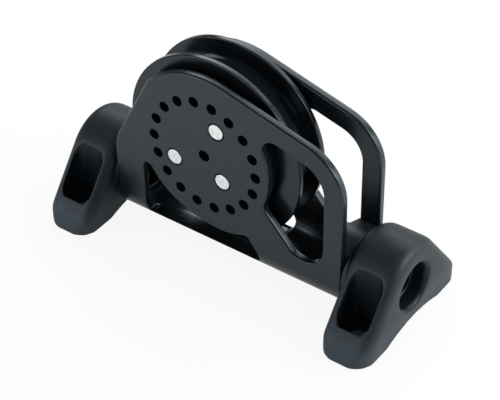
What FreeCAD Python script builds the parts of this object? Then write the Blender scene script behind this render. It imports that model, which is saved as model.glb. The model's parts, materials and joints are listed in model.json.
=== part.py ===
"""Pivoting lead pulley block: two moulded feet carry a folded side frame that swings about
the line of its lead, and the frame carries one large roller-bearing sheave.

Millimetres. X runs along the swing axis, Y along the sheave axis, Z is up.
The origin is on the deck, midway between the outer ends of the two feet.
"""
import FreeCAD, Part
import math
import os

import Sketcher

document = FreeCAD.newDocument("pulley_block")
sheet = document.addObject("Spreadsheet::Sheet", "Sizes")
subparts = []

# Driving sizes, in millimetres and degrees
SIZES = {
    # Reach of the frame on each side of the sheave axis, and its end play
    "left_reach": 42.6,
    "right_reach": 60.2,
    "left_float": 0.1,
    "right_float": 0.7,
    "deck_clearance": 3.5,         # below the fold of the frame
    # Bearing
    "pitch_radius": 22.9,          # of the rollers, and of the drain holes over them
    "roller_radius": 2.0,
    "roller_count": 16,
    "roller_recess": 1.75,         # roller end to sheave side
    "shoulder_step": 1.45,         # hub track to hub shoulder
    "cage_wall": 2.4,
    "cage_recess": 0.8,            # cage side to sheave side
    "window_play": 0.15,
    "washer_overlap": 2.05,        # thrust washer beyond the bore of the sheave
    # Sheave
    "sheave_width": 16.5,
    "tread_wall": 3.55,            # bore to the bottom of the groove
    "groove_depth": 9.6,
    "groove_radius": 5.6,
    "rim_land": 2.3,
    "rim_round": 0.5,
    "line_radius": 3.0,            # puts the bottom of the groove a line's radius over the swing axis
    # Folded frame: section and outline of its two sides
    "frame_width": 28.2,
    "frame_wall": 3.5,
    "fold_radius": 11.4,           # outside corners of the U below the swing axis
    "crown_inset": 3.9,            # round top, inside the rim of the sheave
    "flank_inset": 1.2,            # sloping left edge, inside the crown
    "flank_lean": 27.3,            # its lean from upright
    "ridge_slope": 14.6,           # fall of the straight top edge
    "nose_radius": 20.0,           # round upper right corner
    "heel_radius": 20.0,           # soft turn at the foot of the sloping edge
    "brow_radius": 3.0,            # where the sloping edge meets the crown
    "edge_break": 0.5,             # light chamfer on the outer edges
    # Right window in each side
    "cheek_margin": 1.6,           # bearing cheek beyond the washer
    "window_border": 8.3,
    "window_brow_radius": 5.0,
    "window_foot_radius": 8.2,
    "window_sill_slope": 48.5,
    "window_sill_offset": 10.9,
    "window_heel_radius": 4.0,
    # Lower opening that runs round the fold
    "notch_post": 13.4,            # solid end beside it
    "notch_margin": 1.9,           # round part of its roof, beyond the bearing cheek
    "notch_dip_slope": 15.0,       # where the roof leaves the round and goes on down
    "notch_roof_slope": 17.0,      # where it rises again over the strut
    "notch_web": 3.2,              # strut below the round part
    "notch_roof_radius": 24.0,
    "notch_end": 16.2,             # square distance of the sloping end from the swing axis
    "notch_end_lean": 36.4,
    "notch_sill": 10.3,            # bottom edge below the swing axis
    "notch_toe_radius": 4.2,       # from the sloping end into the sill
    "notch_round": 2.0,
    # Holes and rivets of the bearing cheek
    "ring_hole_radius": 2.2,
    "ring_count": 18,
    "centre_hole_radius": 2.4,
    "rivet_top_along": 5.5,
    "rivet_top_up": 13.0,
    "rivet_low_along": 7.9,
    "rivet_low_up": -8.7,
    "rivet_left_along": -13.8,
    "rivet_left_up": -6.6,
    "rivet_shank_radius": 2.4,
    "rivet_head_radius": 3.5,
    "rivet_head_depth": 1.6,
    "head_gap": 0.35,              # open ring round a rivet head at the surface
    # Fits
    "seat_gap": 0.04,              # between pieces that are pressed together
    "pivot_gap": 0.06,             # running clearance of the bushes on their tubes
    "bearing_gap": 0.05,           # running clearance on each side of a roller
    "side_gap": 0.15,              # sheave side to thrust washer
    # End bushes and the tubes that they turn on
    "bush_flange": 1.4,
    "bush_length": 8.0,            # plug inside the frame
    "bush_crown_drop": 0.7,        # sloping faces of the plug's top, nearer than its flange's edge
    "bush_crown_slope": 20.0,      # their fall to each side
    "bush_crown_radius": 10.8,     # between them
    "bush_shoulder_radius": 0.8,
    "tube_radius": 9.0,
    "tube_bore_radius": 7.2,
    "tube_reach": 8.4,             # out of the foot, into the frame
    "tube_seat": 14.8,             # inside the foot
    "tube_lip": 0.8,
    # Feet
    "foot_depth": 20.5,
    "toe_half": 33.7,
    "toe_wall": 2.2,
    "foot_crown_wall": 9.3,        # over the tube
    "arch_half": 17.0,
    "arch_rise": 2.9,
    "plan_round": 7.0,
    "end_round": 3.4,
    "bore_bevel": 1.4,
    "pocket_side_wall": 3.55,
    "pocket_wall": 5.0,            # between the tube and a pocket
    "pocket_toe": 6.4,             # solid toe beyond a pocket
    "pocket_floor": 4.5,
    "pocket_round": 3.5,
    "screw_radius": 3.2,
}


class Size:
    """A number together with the formula that gives it from the cells of the sheet."""

    def __init__(self, value, formula):
        self.value = value
        self.formula = formula

    def __add__(self, other):
        other = as_size(other)
        return Size(self.value + other.value, f"({self.formula} + {other.formula})")

    def __sub__(self, other):
        other = as_size(other)
        return Size(self.value - other.value, f"({self.formula} - {other.formula})")

    def __mul__(self, other):
        other = as_size(other)
        return Size(self.value * other.value, f"({self.formula} * {other.formula})")

    def __truediv__(self, other):
        other = as_size(other)
        return Size(self.value / other.value, f"({self.formula} / {other.formula})")

    def __neg__(self):
        return Size(-self.value, f"(-{self.formula})")

    def __radd__(self, other):
        return as_size(other) + self

    def __rsub__(self, other):
        return as_size(other) - self

    def __rmul__(self, other):
        return as_size(other) * self


def as_size(number):
    """Takes a plain number as a size of its own."""
    if isinstance(number, Size):
        return number
    return Size(float(number), f"({number})")


def fill_sheet():
    """Writes the driving sizes to the sheet and returns them by name."""
    sizes = {}
    for row, (name, number) in enumerate(SIZES.items(), start=1):
        sheet.set(f"A{row}", name)
        sheet.set(f"B{row}", str(number))
        sheet.setAlias(f"B{row}", name)
        sizes[name] = Size(float(number), f"Sizes.{name}")
    document.recompute()
    return sizes


size = fill_sheet()

# Half widths and places that several pieces share
frame_half = size["frame_width"] / 2
inner_half = frame_half - size["frame_wall"]
fold_hollow_radius = size["fold_radius"] - size["frame_wall"]
sheave_half = size["sheave_width"] / 2
washer_inner = sheave_half + size["side_gap"]
roller_length = (sheave_half - size["roller_recess"]) * 2
pivot_up = frame_half + size["deck_clearance"]
sheave_along = (size["left_reach"] + size["left_float"] - size["right_reach"] - size["right_float"]) / 2
foot_inner = sheave_along + size["right_reach"] + size["bush_flange"] + size["right_float"]

# Radii about the sheave axis, each from the one inside it
hub_track_radius = size["pitch_radius"] - size["roller_radius"] - size["bearing_gap"]
hub_shoulder_radius = hub_track_radius - size["shoulder_step"]
sheave_bore_radius = size["pitch_radius"] + size["roller_radius"] + size["bearing_gap"]
washer_radius = sheave_bore_radius + size["washer_overlap"]
groove_root_radius = sheave_bore_radius + size["tread_wall"]
sheave_radius = groove_root_radius + size["groove_depth"]
cheek_radius = washer_radius + size["cheek_margin"]
crown_radius = sheave_radius - size["crown_inset"]
sheave_rise = groove_root_radius + size["line_radius"]
sheave_up = pivot_up + sheave_rise

# Foot, about the swing axis
tube_hole_radius = size["tube_radius"] + size["seat_gap"]
foot_crown_radius = size["tube_radius"] + size["foot_crown_wall"]
foot_middle = size["foot_depth"] / 2
toe_rise = pivot_up - size["toe_wall"]
pocket_inner = size["tube_radius"] + size["pocket_wall"]
pocket_outer = size["toe_half"] - size["pocket_toe"]
screw_across = (pocket_inner + pocket_outer) / 2


def bind(target, path, amount):
    """Ties a property or a sketch dimension to a size."""
    target.setExpression(path, as_size(amount).formula)


def new_body(name):
    """Starts one piece of the block."""
    body = document.addObject("PartDesign::Body", name)
    body.Label = name
    subparts.append(body)
    return body


def place(piece, along=0.0, across=0.0, up=0.0, turned=False):
    """Puts a finished piece where it belongs; turned swings it half round about the upright."""
    if turned:
        piece.Placement.Rotation = FreeCAD.Rotation(FreeCAD.Vector(0, 0, 1), 180)
    bind(piece, "Placement.Base.x", along)
    bind(piece, "Placement.Base.y", across)
    bind(piece, "Placement.Base.z", up)


def new_sketch(body, name, role, lift=None):
    """Starts a sketch on one of the body's own origin planes, or at a distance above it."""
    sketch = body.newObject("Sketcher::SketchObject", name)
    plane = next(item for item in body.Origin.OriginFeatures if item.Role == role)
    sketch.AttachmentSupport = [(plane, "")]
    sketch.MapMode = "FlatFace"
    if lift is not None:
        bind(sketch, "AttachmentOffset.Base.z", lift)
    return sketch


def dimension(sketch, kind, *parts):
    """Adds a dimension whose last part is a size, and ties it to that size."""
    amount = as_size(parts[-1])
    index = sketch.addConstraint(Sketcher.Constraint(kind, *parts[:-1], amount.value))
    bind(sketch, f"Constraints[{index}]", amount)


def pin_point(sketch, item, end, across, up):
    """Fixes one end of a line by its two distances from the sketch's origin."""
    for kind, axis, amount in (("DistanceX", -2, across), ("DistanceY", -1, up)):
        if as_size(amount).value == 0:
            sketch.addConstraint(Sketcher.Constraint("PointOnObject", item, end, axis))
        else:
            dimension(sketch, kind, -1, 1, item, end, amount)


def polygon(sketch, corners):
    """Draws a closed polygon whose corners are pairs of sizes."""
    points = [FreeCAD.Vector(as_size(x).value, as_size(y).value, 0) for x, y in corners]
    count = len(points)
    lines = [
        sketch.addGeometry(Part.LineSegment(points[i], points[(i + 1) % count]), False)
        for i in range(count)
    ]
    for i in range(count):
        sketch.addConstraint(Sketcher.Constraint("Coincident", lines[i], 2, lines[(i + 1) % count], 1))
        pin_point(sketch, lines[i], 1, *corners[i])


def circle(sketch, across, up, radius):
    """Draws a circle at a place given by two sizes."""
    centre = FreeCAD.Vector(as_size(across).value, as_size(up).value, 0)
    normal = FreeCAD.Vector(0, 0, 1)
    item = sketch.addGeometry(Part.Circle(centre, normal, as_size(radius).value), False)
    pin_point(sketch, item, 3, across, up)
    dimension(sketch, "Radius", item, radius)


def arc_between(centre, radius, start, end):
    """Returns the short arc between two points, and which of its ends is the start."""
    first = math.atan2(start[1] - centre[1], start[0] - centre[0])
    last = math.atan2(end[1] - centre[1], end[0] - centre[0])
    ring = Part.Circle(FreeCAD.Vector(*centre, 0), FreeCAD.Vector(0, 0, 1), radius)
    if (last - first) % (2 * math.pi) < math.pi:
        return Part.ArcOfCircle(ring, first, last), 1
    return Part.ArcOfCircle(ring, last, first), 2


class Straight:
    """A straight boundary: the direction square to it and its distance from a reference point.

    The reference point is the sketch's origin, or lies a drop below it. The region lies on the
    near side of the line when side is 1, and beyond the line when side is -1.
    """

    def __init__(self, normal, distance, side=1, drop=None):
        self.normal = as_size(normal)
        self.distance = as_size(distance)
        self.side = side
        self.drop = drop
        angle = math.radians(self.normal.value)
        self.across = (math.cos(angle), math.sin(angle))

    def gap(self, radius):
        """Distance of a corner's centre from the sketch's origin, square to the line."""
        lowered = 0 if self.drop is None else self.drop.value * self.across[1]
        return self.distance.value - lowered - self.side * radius

    def touch(self, centre, radius):
        """Where a corner of this centre and radius leaves the line."""
        return tuple(c + self.side * radius * n for c, n in zip(centre, self.across))

    def dimension_in(self, sketch, item, start_point, end_point, tangent):
        """Gives the drawn line its direction and its distance."""
        run = math.degrees(math.atan2(end_point[1] - start_point[1], end_point[0] - start_point[0]))
        turn = 90 if math.cos(math.radians(run - self.normal.value - 90)) > 0 else -90
        whole = round((run - self.normal.value - turn) / 360) * 360
        if abs(self.across[1]) < 1e-9:
            sketch.addConstraint(Sketcher.Constraint("Vertical", item))
        elif abs(self.across[0]) < 1e-9:
            sketch.addConstraint(Sketcher.Constraint("Horizontal", item))
        else:
            direction = self.normal + (turn + whole)
            index = sketch.addConstraint(Sketcher.Constraint("Angle", item, math.radians(direction.value)))
            sketch.setExpression(f"Constraints[{index}]", f"{direction.formula} * 1 deg")
        if tangent:
            return
        mark, mark_end = -1, 1
        if self.drop is not None:
            mark = sketch.addGeometry(Part.Point(FreeCAD.Vector(0, -self.drop.value, 0)), True)
            pin_point(sketch, mark, 1, 0, -self.drop)
        dimension(sketch, "Distance", mark, mark_end, item, self.distance)


class Round:
    """A round boundary about the origin; the region lies inside it (side 1) or outside it (-1)."""

    def __init__(self, radius, side=1):
        self.radius = as_size(radius)
        self.side = side

    def gap(self, radius):
        """Distance of a corner's centre from the origin."""
        return self.radius.value - self.side * radius

    def touch(self, centre, radius):
        """Where a corner of this centre and radius leaves the circle."""
        share = self.radius.value / math.hypot(*centre)
        return tuple(c * share for c in centre)


class Corner:
    """How two boundaries of a region meet: sharp, tangent, or with a round.

    A hollow round bulges into the region. The hand picks one of the two crossings of a line
    and a circle.
    """

    def __init__(self, radius=0, hand=1, hollow=False, tangent=False):
        self.radius = as_size(radius)
        self.hand = hand
        self.reach = -self.radius.value if hollow else self.radius.value
        self.tangent = tangent

    def centre(self, first, second):
        """Finds the centre of the round, or the meeting point where there is none."""
        if isinstance(first, Straight) and isinstance(second, Straight):
            (a, b), (c, d) = first.across, second.across
            p, q = first.gap(self.reach), second.gap(self.reach)
            spread = a * d - b * c
            return ((p * d - b * q) / spread, (a * q - p * c) / spread)
        line, ring = (first, second) if isinstance(first, Straight) else (second, first)
        square = line.gap(self.reach)
        beside = self.hand * math.sqrt(max(ring.gap(self.reach) ** 2 - square ** 2, 0))
        n = line.across
        return (square * n[0] - beside * n[1], square * n[1] + beside * n[0])


def region(sketch, boundaries, corners):
    """Draws a closed region from its boundaries, in order, and the corner at each one's end."""
    count = len(boundaries)
    leave, arrive, centres = [], [], []
    for i, corner in enumerate(corners):
        here, after = boundaries[i], boundaries[(i + 1) % count]
        centres.append(corner.centre(here, after))
        leave.append(here.touch(centres[i], corner.reach))
        arrive.append(after.touch(centres[i], corner.reach))
    # Each link: the drawn item, its first and last end, and whether it runs on smoothly
    chain = []
    for i, boundary in enumerate(boundaries):
        start, end = arrive[i - 1], leave[i]
        corner = corners[i]
        smooth = corner.tangent or corner.radius.value > 0
        if isinstance(boundary, Straight):
            item = sketch.addGeometry(
                Part.LineSegment(FreeCAD.Vector(*start, 0), FreeCAD.Vector(*end, 0)), False)
            chain.append((item, 1, 2, smooth))
        else:
            shape, first_end = arc_between((0, 0), boundary.radius.value, start, end)
            item = sketch.addGeometry(shape, False)
            chain.append((item, first_end, 3 - first_end, smooth))
        if corner.radius.value > 0:
            shape, first_end = arc_between(centres[i], corner.radius.value, leave[i], arrive[i])
            item = sketch.addGeometry(shape, False)
            chain.append((item, first_end, 3 - first_end, True))
    for k, (item, first_end, last_end, smooth) in enumerate(chain):
        after = chain[(k + 1) % len(chain)]
        kind = "Tangent" if smooth else "Coincident"
        sketch.addConstraint(Sketcher.Constraint(kind, item, last_end, after[0], after[1]))
    links = iter(chain)
    for i, boundary in enumerate(boundaries):
        item = next(links)[0]
        if isinstance(boundary, Round):
            sketch.addConstraint(Sketcher.Constraint("Coincident", item, 3, -1, 1))
            dimension(sketch, "Radius", item, boundary.radius)
        else:
            tangent = corners[i - 1].tangent or corners[i].tangent
            boundary.dimension_in(sketch, item, arrive[i - 1], leave[i], tangent)
        if corners[i].radius.value > 0:
            dimension(sketch, "Radius", next(links)[0], corners[i].radius)


def pad(body, name, sketch, length, symmetric=False, backwards=False):
    """Raises a sketch to a solid."""
    feature = body.newObject("PartDesign::Pad", name)
    feature.Profile = sketch
    bind(feature, "Length", length)
    feature.SideType = "Symmetric" if symmetric else "One side"
    feature.Reversed = backwards
    document.recompute()
    return feature


def pocket(body, name, sketch, length=None, symmetric=False, backwards=False, taper=None):
    """Cuts a sketch out of the solid, right through where no length is given."""
    before = body.Shape.Volume
    feature = body.newObject("PartDesign::Pocket", name)
    feature.Profile = sketch
    if length is None:
        feature.Type = "ThroughAll"
    else:
        feature.Type = "Length"
        bind(feature, "Length", length)
    feature.SideType = "Symmetric" if symmetric else "One side"
    feature.Reversed = backwards
    if taper is not None:
        bind(feature, "TaperAngle", taper)
    document.recompute()
    if not body.Shape.Volume < before:
        raise RuntimeError(f"{body.Label}: {name} cuts nothing")
    return feature


def turn(body, name, sketch, cut=False):
    """Turns a sketch about its level axis, into a solid or out of one."""
    before = body.Shape.Volume if cut else 0
    feature = body.newObject("PartDesign::Groove" if cut else "PartDesign::Revolution", name)
    feature.Profile = sketch
    feature.ReferenceAxis = (sketch, ["H_Axis"])
    feature.Angle = 360
    document.recompute()
    if cut and not body.Shape.Volume < before:
        raise RuntimeError(f"{body.Label}: {name} cuts nothing")
    return feature


def repeat(body, name, feature, sketch, count, axis="N_Axis"):
    """Repeats a feature evenly about one of its sketch's axes."""
    pattern = body.newObject("PartDesign::PolarPattern", name)
    pattern.Originals = [feature]
    pattern.Axis = (sketch, [axis])
    pattern.Angle = 360
    bind(pattern, "Occurrences", count)
    body.Tip = pattern
    document.recompute()
    return pattern


def mirror(body, name, features, role):
    """Repeats features on the other side of one of the body's own planes."""
    copy = body.newObject("PartDesign::Mirrored", name)
    copy.Originals = features
    plane = next(item for item in body.Origin.OriginFeatures if item.Role == role)
    copy.MirrorPlane = (plane, [""])
    body.Tip = copy
    document.recompute()
    return copy


def edge_names(shape, test):
    """Names the edges whose ends and middle all pass a test."""
    names = []
    for number, edge in enumerate(shape.Edges, start=1):
        points = [edge.valueAt(edge.FirstParameter + share * (edge.LastParameter - edge.FirstParameter))
                  for share in (0.0, 0.35, 0.7, 1.0)]
        if all(test(point) for point in points):
            names.append(f"Edge{number}")
    return names


def dress_edges(body, kind, name, amount, test):
    """Rounds or bevels the edges that pass a test; kind is Fillet or Chamfer."""
    base = body.Tip
    names = edge_names(base.Shape, test)
    if not names:
        raise RuntimeError(f"{body.Label}: {name} finds no edge")
    feature = body.newObject(f"PartDesign::{kind}", name)
    feature.Base = (base, names)
    bind(feature, "Radius" if kind == "Fillet" else "Size", amount)
    document.recompute()
    return feature


def turned_piece(name, role, corners):
    """Makes a round piece about its plane's level axis from its half section."""
    body = new_body(name)
    section = new_sketch(body, f"{name}_section", role)
    polygon(section, corners)
    turn(body, f"{name}_solid", section)
    return body


def near(value, target, reach=0.01):
    """True where two numbers agree."""
    return abs(value - target) < reach


# Folded side frame: one plate bent round the swing axis, its origin on the sheave axis
def make_side_frame():
    body = new_body("side_frame")
    blank_top = crown_radius + size["frame_wall"]
    section = new_sketch(body, "fold_section", "YZ_Plane")
    draw_fold(section, frame_half, size["fold_radius"], blank_top)
    # The blank runs past both ends; the outline trims it
    blank_half = size["right_reach"] + size["frame_wall"]
    pad(body, "folded_blank", section, blank_half * 2, symmetric=True)
    hollow = new_sketch(body, "fold_hollow_section", "YZ_Plane")
    draw_fold(hollow, inner_half, fold_hollow_radius, blank_top + size["frame_wall"])
    pocket(body, "fold_hollow", hollow, symmetric=True)

    outline = new_sketch(body, "side_outline", "XZ_Plane")
    under = sheave_rise + frame_half + size["frame_wall"]
    region(
        outline,
        [
            Straight(270, under),
            Straight(0, size["right_reach"]),
            Straight(90 - size["ridge_slope"], crown_radius),
            Round(crown_radius),
            Straight(180 - size["flank_lean"], crown_radius - size["flank_inset"]),
            Straight(180, size["left_reach"]),
        ],
        [
            Corner(),
            Corner(size["nose_radius"]),
            Corner(tangent=True),
            Corner(size["brow_radius"], hand=-1),
            Corner(size["heel_radius"]),
            Corner(),
        ],
    )
    margin = blank_half + size["frame_wall"]
    polygon(outline, [
        (-margin, -(under + size["frame_wall"])), (margin, -(under + size["frame_wall"])),
        (margin, blank_top + size["frame_wall"]), (-margin, blank_top + size["frame_wall"])])
    pocket(body, "outline_trim", outline, symmetric=True)

    window = new_sketch(body, "window_outline", "XZ_Plane")
    region(
        window,
        [
            Round(cheek_radius, side=-1),
            Straight(90 - size["window_sill_slope"], size["window_sill_offset"], side=-1),
            Straight(0, size["right_reach"] - size["window_border"]),
            Straight(90 - size["ridge_slope"], crown_radius - size["window_border"]),
        ],
        [
            Corner(size["window_heel_radius"], hand=-1),
            Corner(size["window_foot_radius"]),
            Corner(size["nose_radius"] - size["window_border"]),
            Corner(size["window_brow_radius"], hand=-1),
        ],
    )
    pocket(body, "window", window, symmetric=True)

    notch = new_sketch(body, "notch_outline", "XZ_Plane")
    draw_notch(notch)
    pocket(body, "notch", notch, symmetric=True)

    ring = new_sketch(body, "ring_hole", "XZ_Plane")
    circle(ring, size["pitch_radius"], 0, size["ring_hole_radius"])
    hole = pocket(body, "drain_hole", ring, symmetric=True)
    repeat(body, "drain_ring", hole, ring, size["ring_count"])

    holes = new_sketch(body, "rivet_holes", "XZ_Plane")
    draw_rivet_circles(holes, size["rivet_shank_radius"] + size["seat_gap"])
    circle(holes, 0, 0, size["centre_hole_radius"])
    pocket(body, "rivet_bores", holes, symmetric=True)

    sinks = new_sketch(body, "countersinks", "XZ_Plane", lift=frame_half)
    draw_rivet_circles(sinks, size["rivet_head_radius"] + size["head_gap"])
    sink = pocket(body, "near_countersinks", sinks, size["rivet_head_depth"], taper=countersink_taper())
    mirror(body, "far_countersinks", [sink], "XZ_Plane")
    # Outline and window edges of both outer faces, but not the holes in the bearing cheek
    dress_edges(
        body, "Chamfer", "outer_edges", size["edge_break"],
        lambda point: near(abs(point.y), frame_half.value)
        and math.hypot(point.x, point.z) > cheek_radius.value - 0.1)
    place(body, sheave_along, 0, sheave_up)


def countersink_taper():
    """Slope of a countersink that narrows from the head to the shank, for the cut and the rivet."""
    narrowing = size["rivet_head_radius"] - size["rivet_shank_radius"]
    angle = math.degrees(math.atan2(narrowing.value, size["rivet_head_depth"].value))
    return Size(-angle, f"(-atan({narrowing.formula} / {size['rivet_head_depth'].formula}))")


def draw_fold(sketch, half, corner, top):
    """Draws a U about the swing axis: upright walls, round corners and a level bottom."""
    region(
        sketch,
        [
            Straight(0, half),
            Straight(90, top),
            Straight(180, half),
            Straight(270, sheave_rise + half),
        ],
        [Corner(), Corner(), Corner(corner), Corner(corner)],
    )


def draw_notch(sketch):
    """Draws the lower opening: its roof follows the bearing cheek, its sill lies under the fold."""
    roof_radius = cheek_radius + size["notch_margin"]
    region(
        sketch,
        [
            Round(roof_radius, side=-1),
            Straight(270 - size["notch_dip_slope"], roof_radius, side=-1),
            Straight(270 + size["notch_roof_slope"], roof_radius + size["notch_web"], side=-1),
            Straight(size["notch_end_lean"], size["notch_end"], drop=sheave_rise),
            Straight(270, sheave_rise + size["notch_sill"]),
            Straight(180, size["left_reach"] - size["notch_post"]),
        ],
        [
            Corner(tangent=True),
            Corner(size["notch_roof_radius"], hollow=True),
            Corner(size["notch_round"]),
            Corner(size["notch_toe_radius"]),
            Corner(size["notch_round"]),
            Corner(size["notch_round"]),
        ],
    )


def draw_rivet_circles(sketch, radius):
    """Draws one circle at each of the three rivets."""
    for rivet in ("top", "low", "left"):
        circle(sketch, size[f"rivet_{rivet}_along"], size[f"rivet_{rivet}_up"], radius)


# Bearing hub, clamped between the two sides, with the roller track round its middle
def make_bearing_hub():
    track_half = sheave_half - size["cage_recess"]
    body = turned_piece("bearing_hub", "YZ_Plane", [
        (-inner_half, 0), (-inner_half, hub_shoulder_radius),
        (-track_half, hub_shoulder_radius), (-track_half, hub_track_radius),
        (track_half, hub_track_radius), (track_half, hub_shoulder_radius),
        (inner_half, hub_shoulder_radius), (inner_half, 0)])
    holes = new_sketch(body, "hub_rivet_holes", "XZ_Plane")
    draw_rivet_circles(holes, size["rivet_shank_radius"] + size["seat_gap"])
    circle(holes, 0, 0, size["centre_hole_radius"])
    pocket(body, "hub_rivet_bores", holes, symmetric=True)
    place(body, sheave_along, 0, sheave_up)


# Three rivets through both sides and the hub, with flush countersunk heads
def make_hub_rivets():
    head_start = frame_half - size["rivet_head_depth"]
    for rivet in ("top", "low", "left"):
        body = turned_piece(f"hub_rivet_{rivet}", "YZ_Plane", [
            (-frame_half, 0), (-frame_half, size["rivet_head_radius"]),
            (-head_start, size["rivet_shank_radius"]), (head_start, size["rivet_shank_radius"]),
            (frame_half, size["rivet_head_radius"]), (frame_half, 0)])
        place(body, sheave_along + size[f"rivet_{rivet}_along"], 0, sheave_up + size[f"rivet_{rivet}_up"])


# Thrust washers between the sheave and the two sides
def make_thrust_washers():
    inner_radius = hub_shoulder_radius + size["seat_gap"]
    for name, sign in (("thrust_washer_near", -1), ("thrust_washer_far", 1)):
        body = turned_piece(name, "YZ_Plane", [
            (washer_inner * sign, inner_radius), (washer_inner * sign, washer_radius),
            (inner_half * sign, washer_radius), (inner_half * sign, inner_radius)])
        place(body, sheave_along, 0, sheave_up)


# Grooved sheave, bored for its rollers, with a shallow dish in each side
def make_sheave():
    body = turned_piece("sheave", "YZ_Plane", [
        (-sheave_half, sheave_bore_radius), (-sheave_half, sheave_radius),
        (sheave_half, sheave_radius), (sheave_half, sheave_bore_radius)])
    groove = new_sketch(body, "rope_groove_section", "YZ_Plane")
    draw_groove(groove)
    turn(body, "rope_groove", groove, cut=True)
    dress_edges(
        body, "Fillet", "rim_rounds", size["rim_round"],
        lambda point: near(math.hypot(point.x, point.z), sheave_radius.value))
    place(body, sheave_along, 0, sheave_up)


def draw_groove(sketch):
    """Draws the groove: a round bottom and two sides that flare to the rim."""
    rise = groove_root_radius + size["groove_radius"]
    mouth = sheave_half - size["rim_land"]
    deep, wide, top = size["groove_radius"].value, mouth.value, sheave_radius.value
    centre = FreeCAD.Vector(0, rise.value, 0)
    bottom = sketch.addGeometry(
        Part.ArcOfCircle(Part.Circle(centre, FreeCAD.Vector(0, 0, 1), deep), math.pi, 2 * math.pi), False)
    pin_point(sketch, bottom, 3, 0, rise)
    dimension(sketch, "Radius", bottom, size["groove_radius"])
    lid = sketch.addGeometry(
        Part.LineSegment(FreeCAD.Vector(-wide, top, 0), FreeCAD.Vector(wide, top, 0)), False)
    for end, sign in ((1, -1), (2, 1)):
        flare = sketch.addGeometry(
            Part.LineSegment(
                FreeCAD.Vector(sign * deep, rise.value, 0), FreeCAD.Vector(sign * wide, top, 0)), False)
        sketch.addConstraint(Sketcher.Constraint("Coincident", flare, 1, bottom, end))
        sketch.addConstraint(Sketcher.Constraint("Coincident", flare, 2, lid, end))
        sketch.addConstraint(Sketcher.Constraint("Horizontal", bottom, 3, bottom, end))
        pin_point(sketch, flare, 2, mouth * sign, sheave_radius)


# Roller cage: a thin ring with a window for each roller
def make_roller_cage():
    half = sheave_half - size["cage_recess"]
    inside = size["pitch_radius"] - size["cage_wall"] / 2
    outside = size["pitch_radius"] + size["cage_wall"] / 2
    body = turned_piece("roller_cage", "YZ_Plane", [
        (-half, inside), (-half, outside), (half, outside), (half, inside)])
    window = new_sketch(body, "roller_window", "XY_Plane")
    wide = size["roller_radius"] + size["window_play"]
    long = roller_length / 2 + size["window_play"]
    polygon(window, [(-wide, -long), (wide, -long), (wide, long), (-wide, long)])
    cut = pocket(body, "first_roller_window", window, backwards=True)
    repeat(body, "roller_windows", cut, window, size["roller_count"], "V_Axis")
    place(body, sheave_along, 0, sheave_up)


# Rollers, one to each window of the cage
def make_rollers():
    step = 360 / int(SIZES["roller_count"])
    for number in range(int(SIZES["roller_count"])):
        roller = document.addObject("Part::Cylinder", f"roller_{number + 1:02d}")
        roller.Label = roller.Name
        bind(roller, "Radius", size["roller_radius"])
        bind(roller, "Height", roller_length)
        roller.Placement.Rotation = FreeCAD.Rotation(FreeCAD.Vector(1, 0, 0), -90)
        turned = f"({number} * 360 deg / Sizes.roller_count)"
        angle = math.radians(number * step)
        beside = size["pitch_radius"] * Size(math.sin(angle), f"sin({turned})")
        above = size["pitch_radius"] * Size(math.cos(angle), f"cos({turned})")
        place(roller, sheave_along + beside, -roller_length / 2, sheave_up + above)
        subparts.append(roller)


# End bushes: a flange against the frame's end and a plug that fills the frame above its fold
def make_end_bushes():
    for name, end, turned in (
            ("end_bush_left", sheave_along - size["left_reach"], True),
            ("end_bush_right", sheave_along + size["right_reach"], False)):
        body = new_body(name)
        plug = new_sketch(body, f"{name}_plug_section", "YZ_Plane")
        fit_half = inner_half - size["seat_gap"]
        fit_corner = fold_hollow_radius - size["seat_gap"]
        region(
            plug,
            [
                Straight(0, fit_half),
                Straight(90 - size["bush_crown_slope"], frame_half - size["bush_crown_drop"]),
                Straight(90 + size["bush_crown_slope"], frame_half - size["bush_crown_drop"]),
                Straight(180, fit_half),
                Straight(270, fit_half),
            ],
            [
                Corner(size["bush_shoulder_radius"]),
                Corner(size["bush_crown_radius"]),
                Corner(size["bush_shoulder_radius"]),
                Corner(fit_corner),
                Corner(fit_corner),
            ],
        )
        pad(body, f"{name}_plug", plug, size["bush_length"], backwards=True)
        flange = new_sketch(body, f"{name}_flange_outline", "YZ_Plane")
        circle(flange, 0, 0, frame_half)
        pad(body, f"{name}_flange", flange, size["bush_flange"])
        bore = new_sketch(body, f"{name}_bore_outline", "YZ_Plane")
        circle(bore, 0, 0, size["tube_radius"] + size["pivot_gap"])
        pocket(body, f"{name}_bore", bore, symmetric=True)
        place(body, end, 0, pivot_up, turned)


# Lead tubes: hollow pins seated in the feet, on which the frame swings
def make_lead_tubes():
    for name, sign in (("lead_tube_left", -1), ("lead_tube_right", 1)):
        body = turned_piece(name, "XZ_Plane", [
            (-size["tube_reach"], size["tube_bore_radius"]), (-size["tube_reach"], size["tube_radius"]),
            (size["tube_seat"], size["tube_radius"]), (size["tube_seat"], size["tube_bore_radius"])])
        dress_edges(
            body, "Fillet", f"{name}_lips", size["tube_lip"],
            lambda point: near(math.hypot(point.y, point.z), size["tube_bore_radius"].value))
        place(body, foot_inner * sign, 0, pivot_up, turned=sign < 0)


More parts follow.
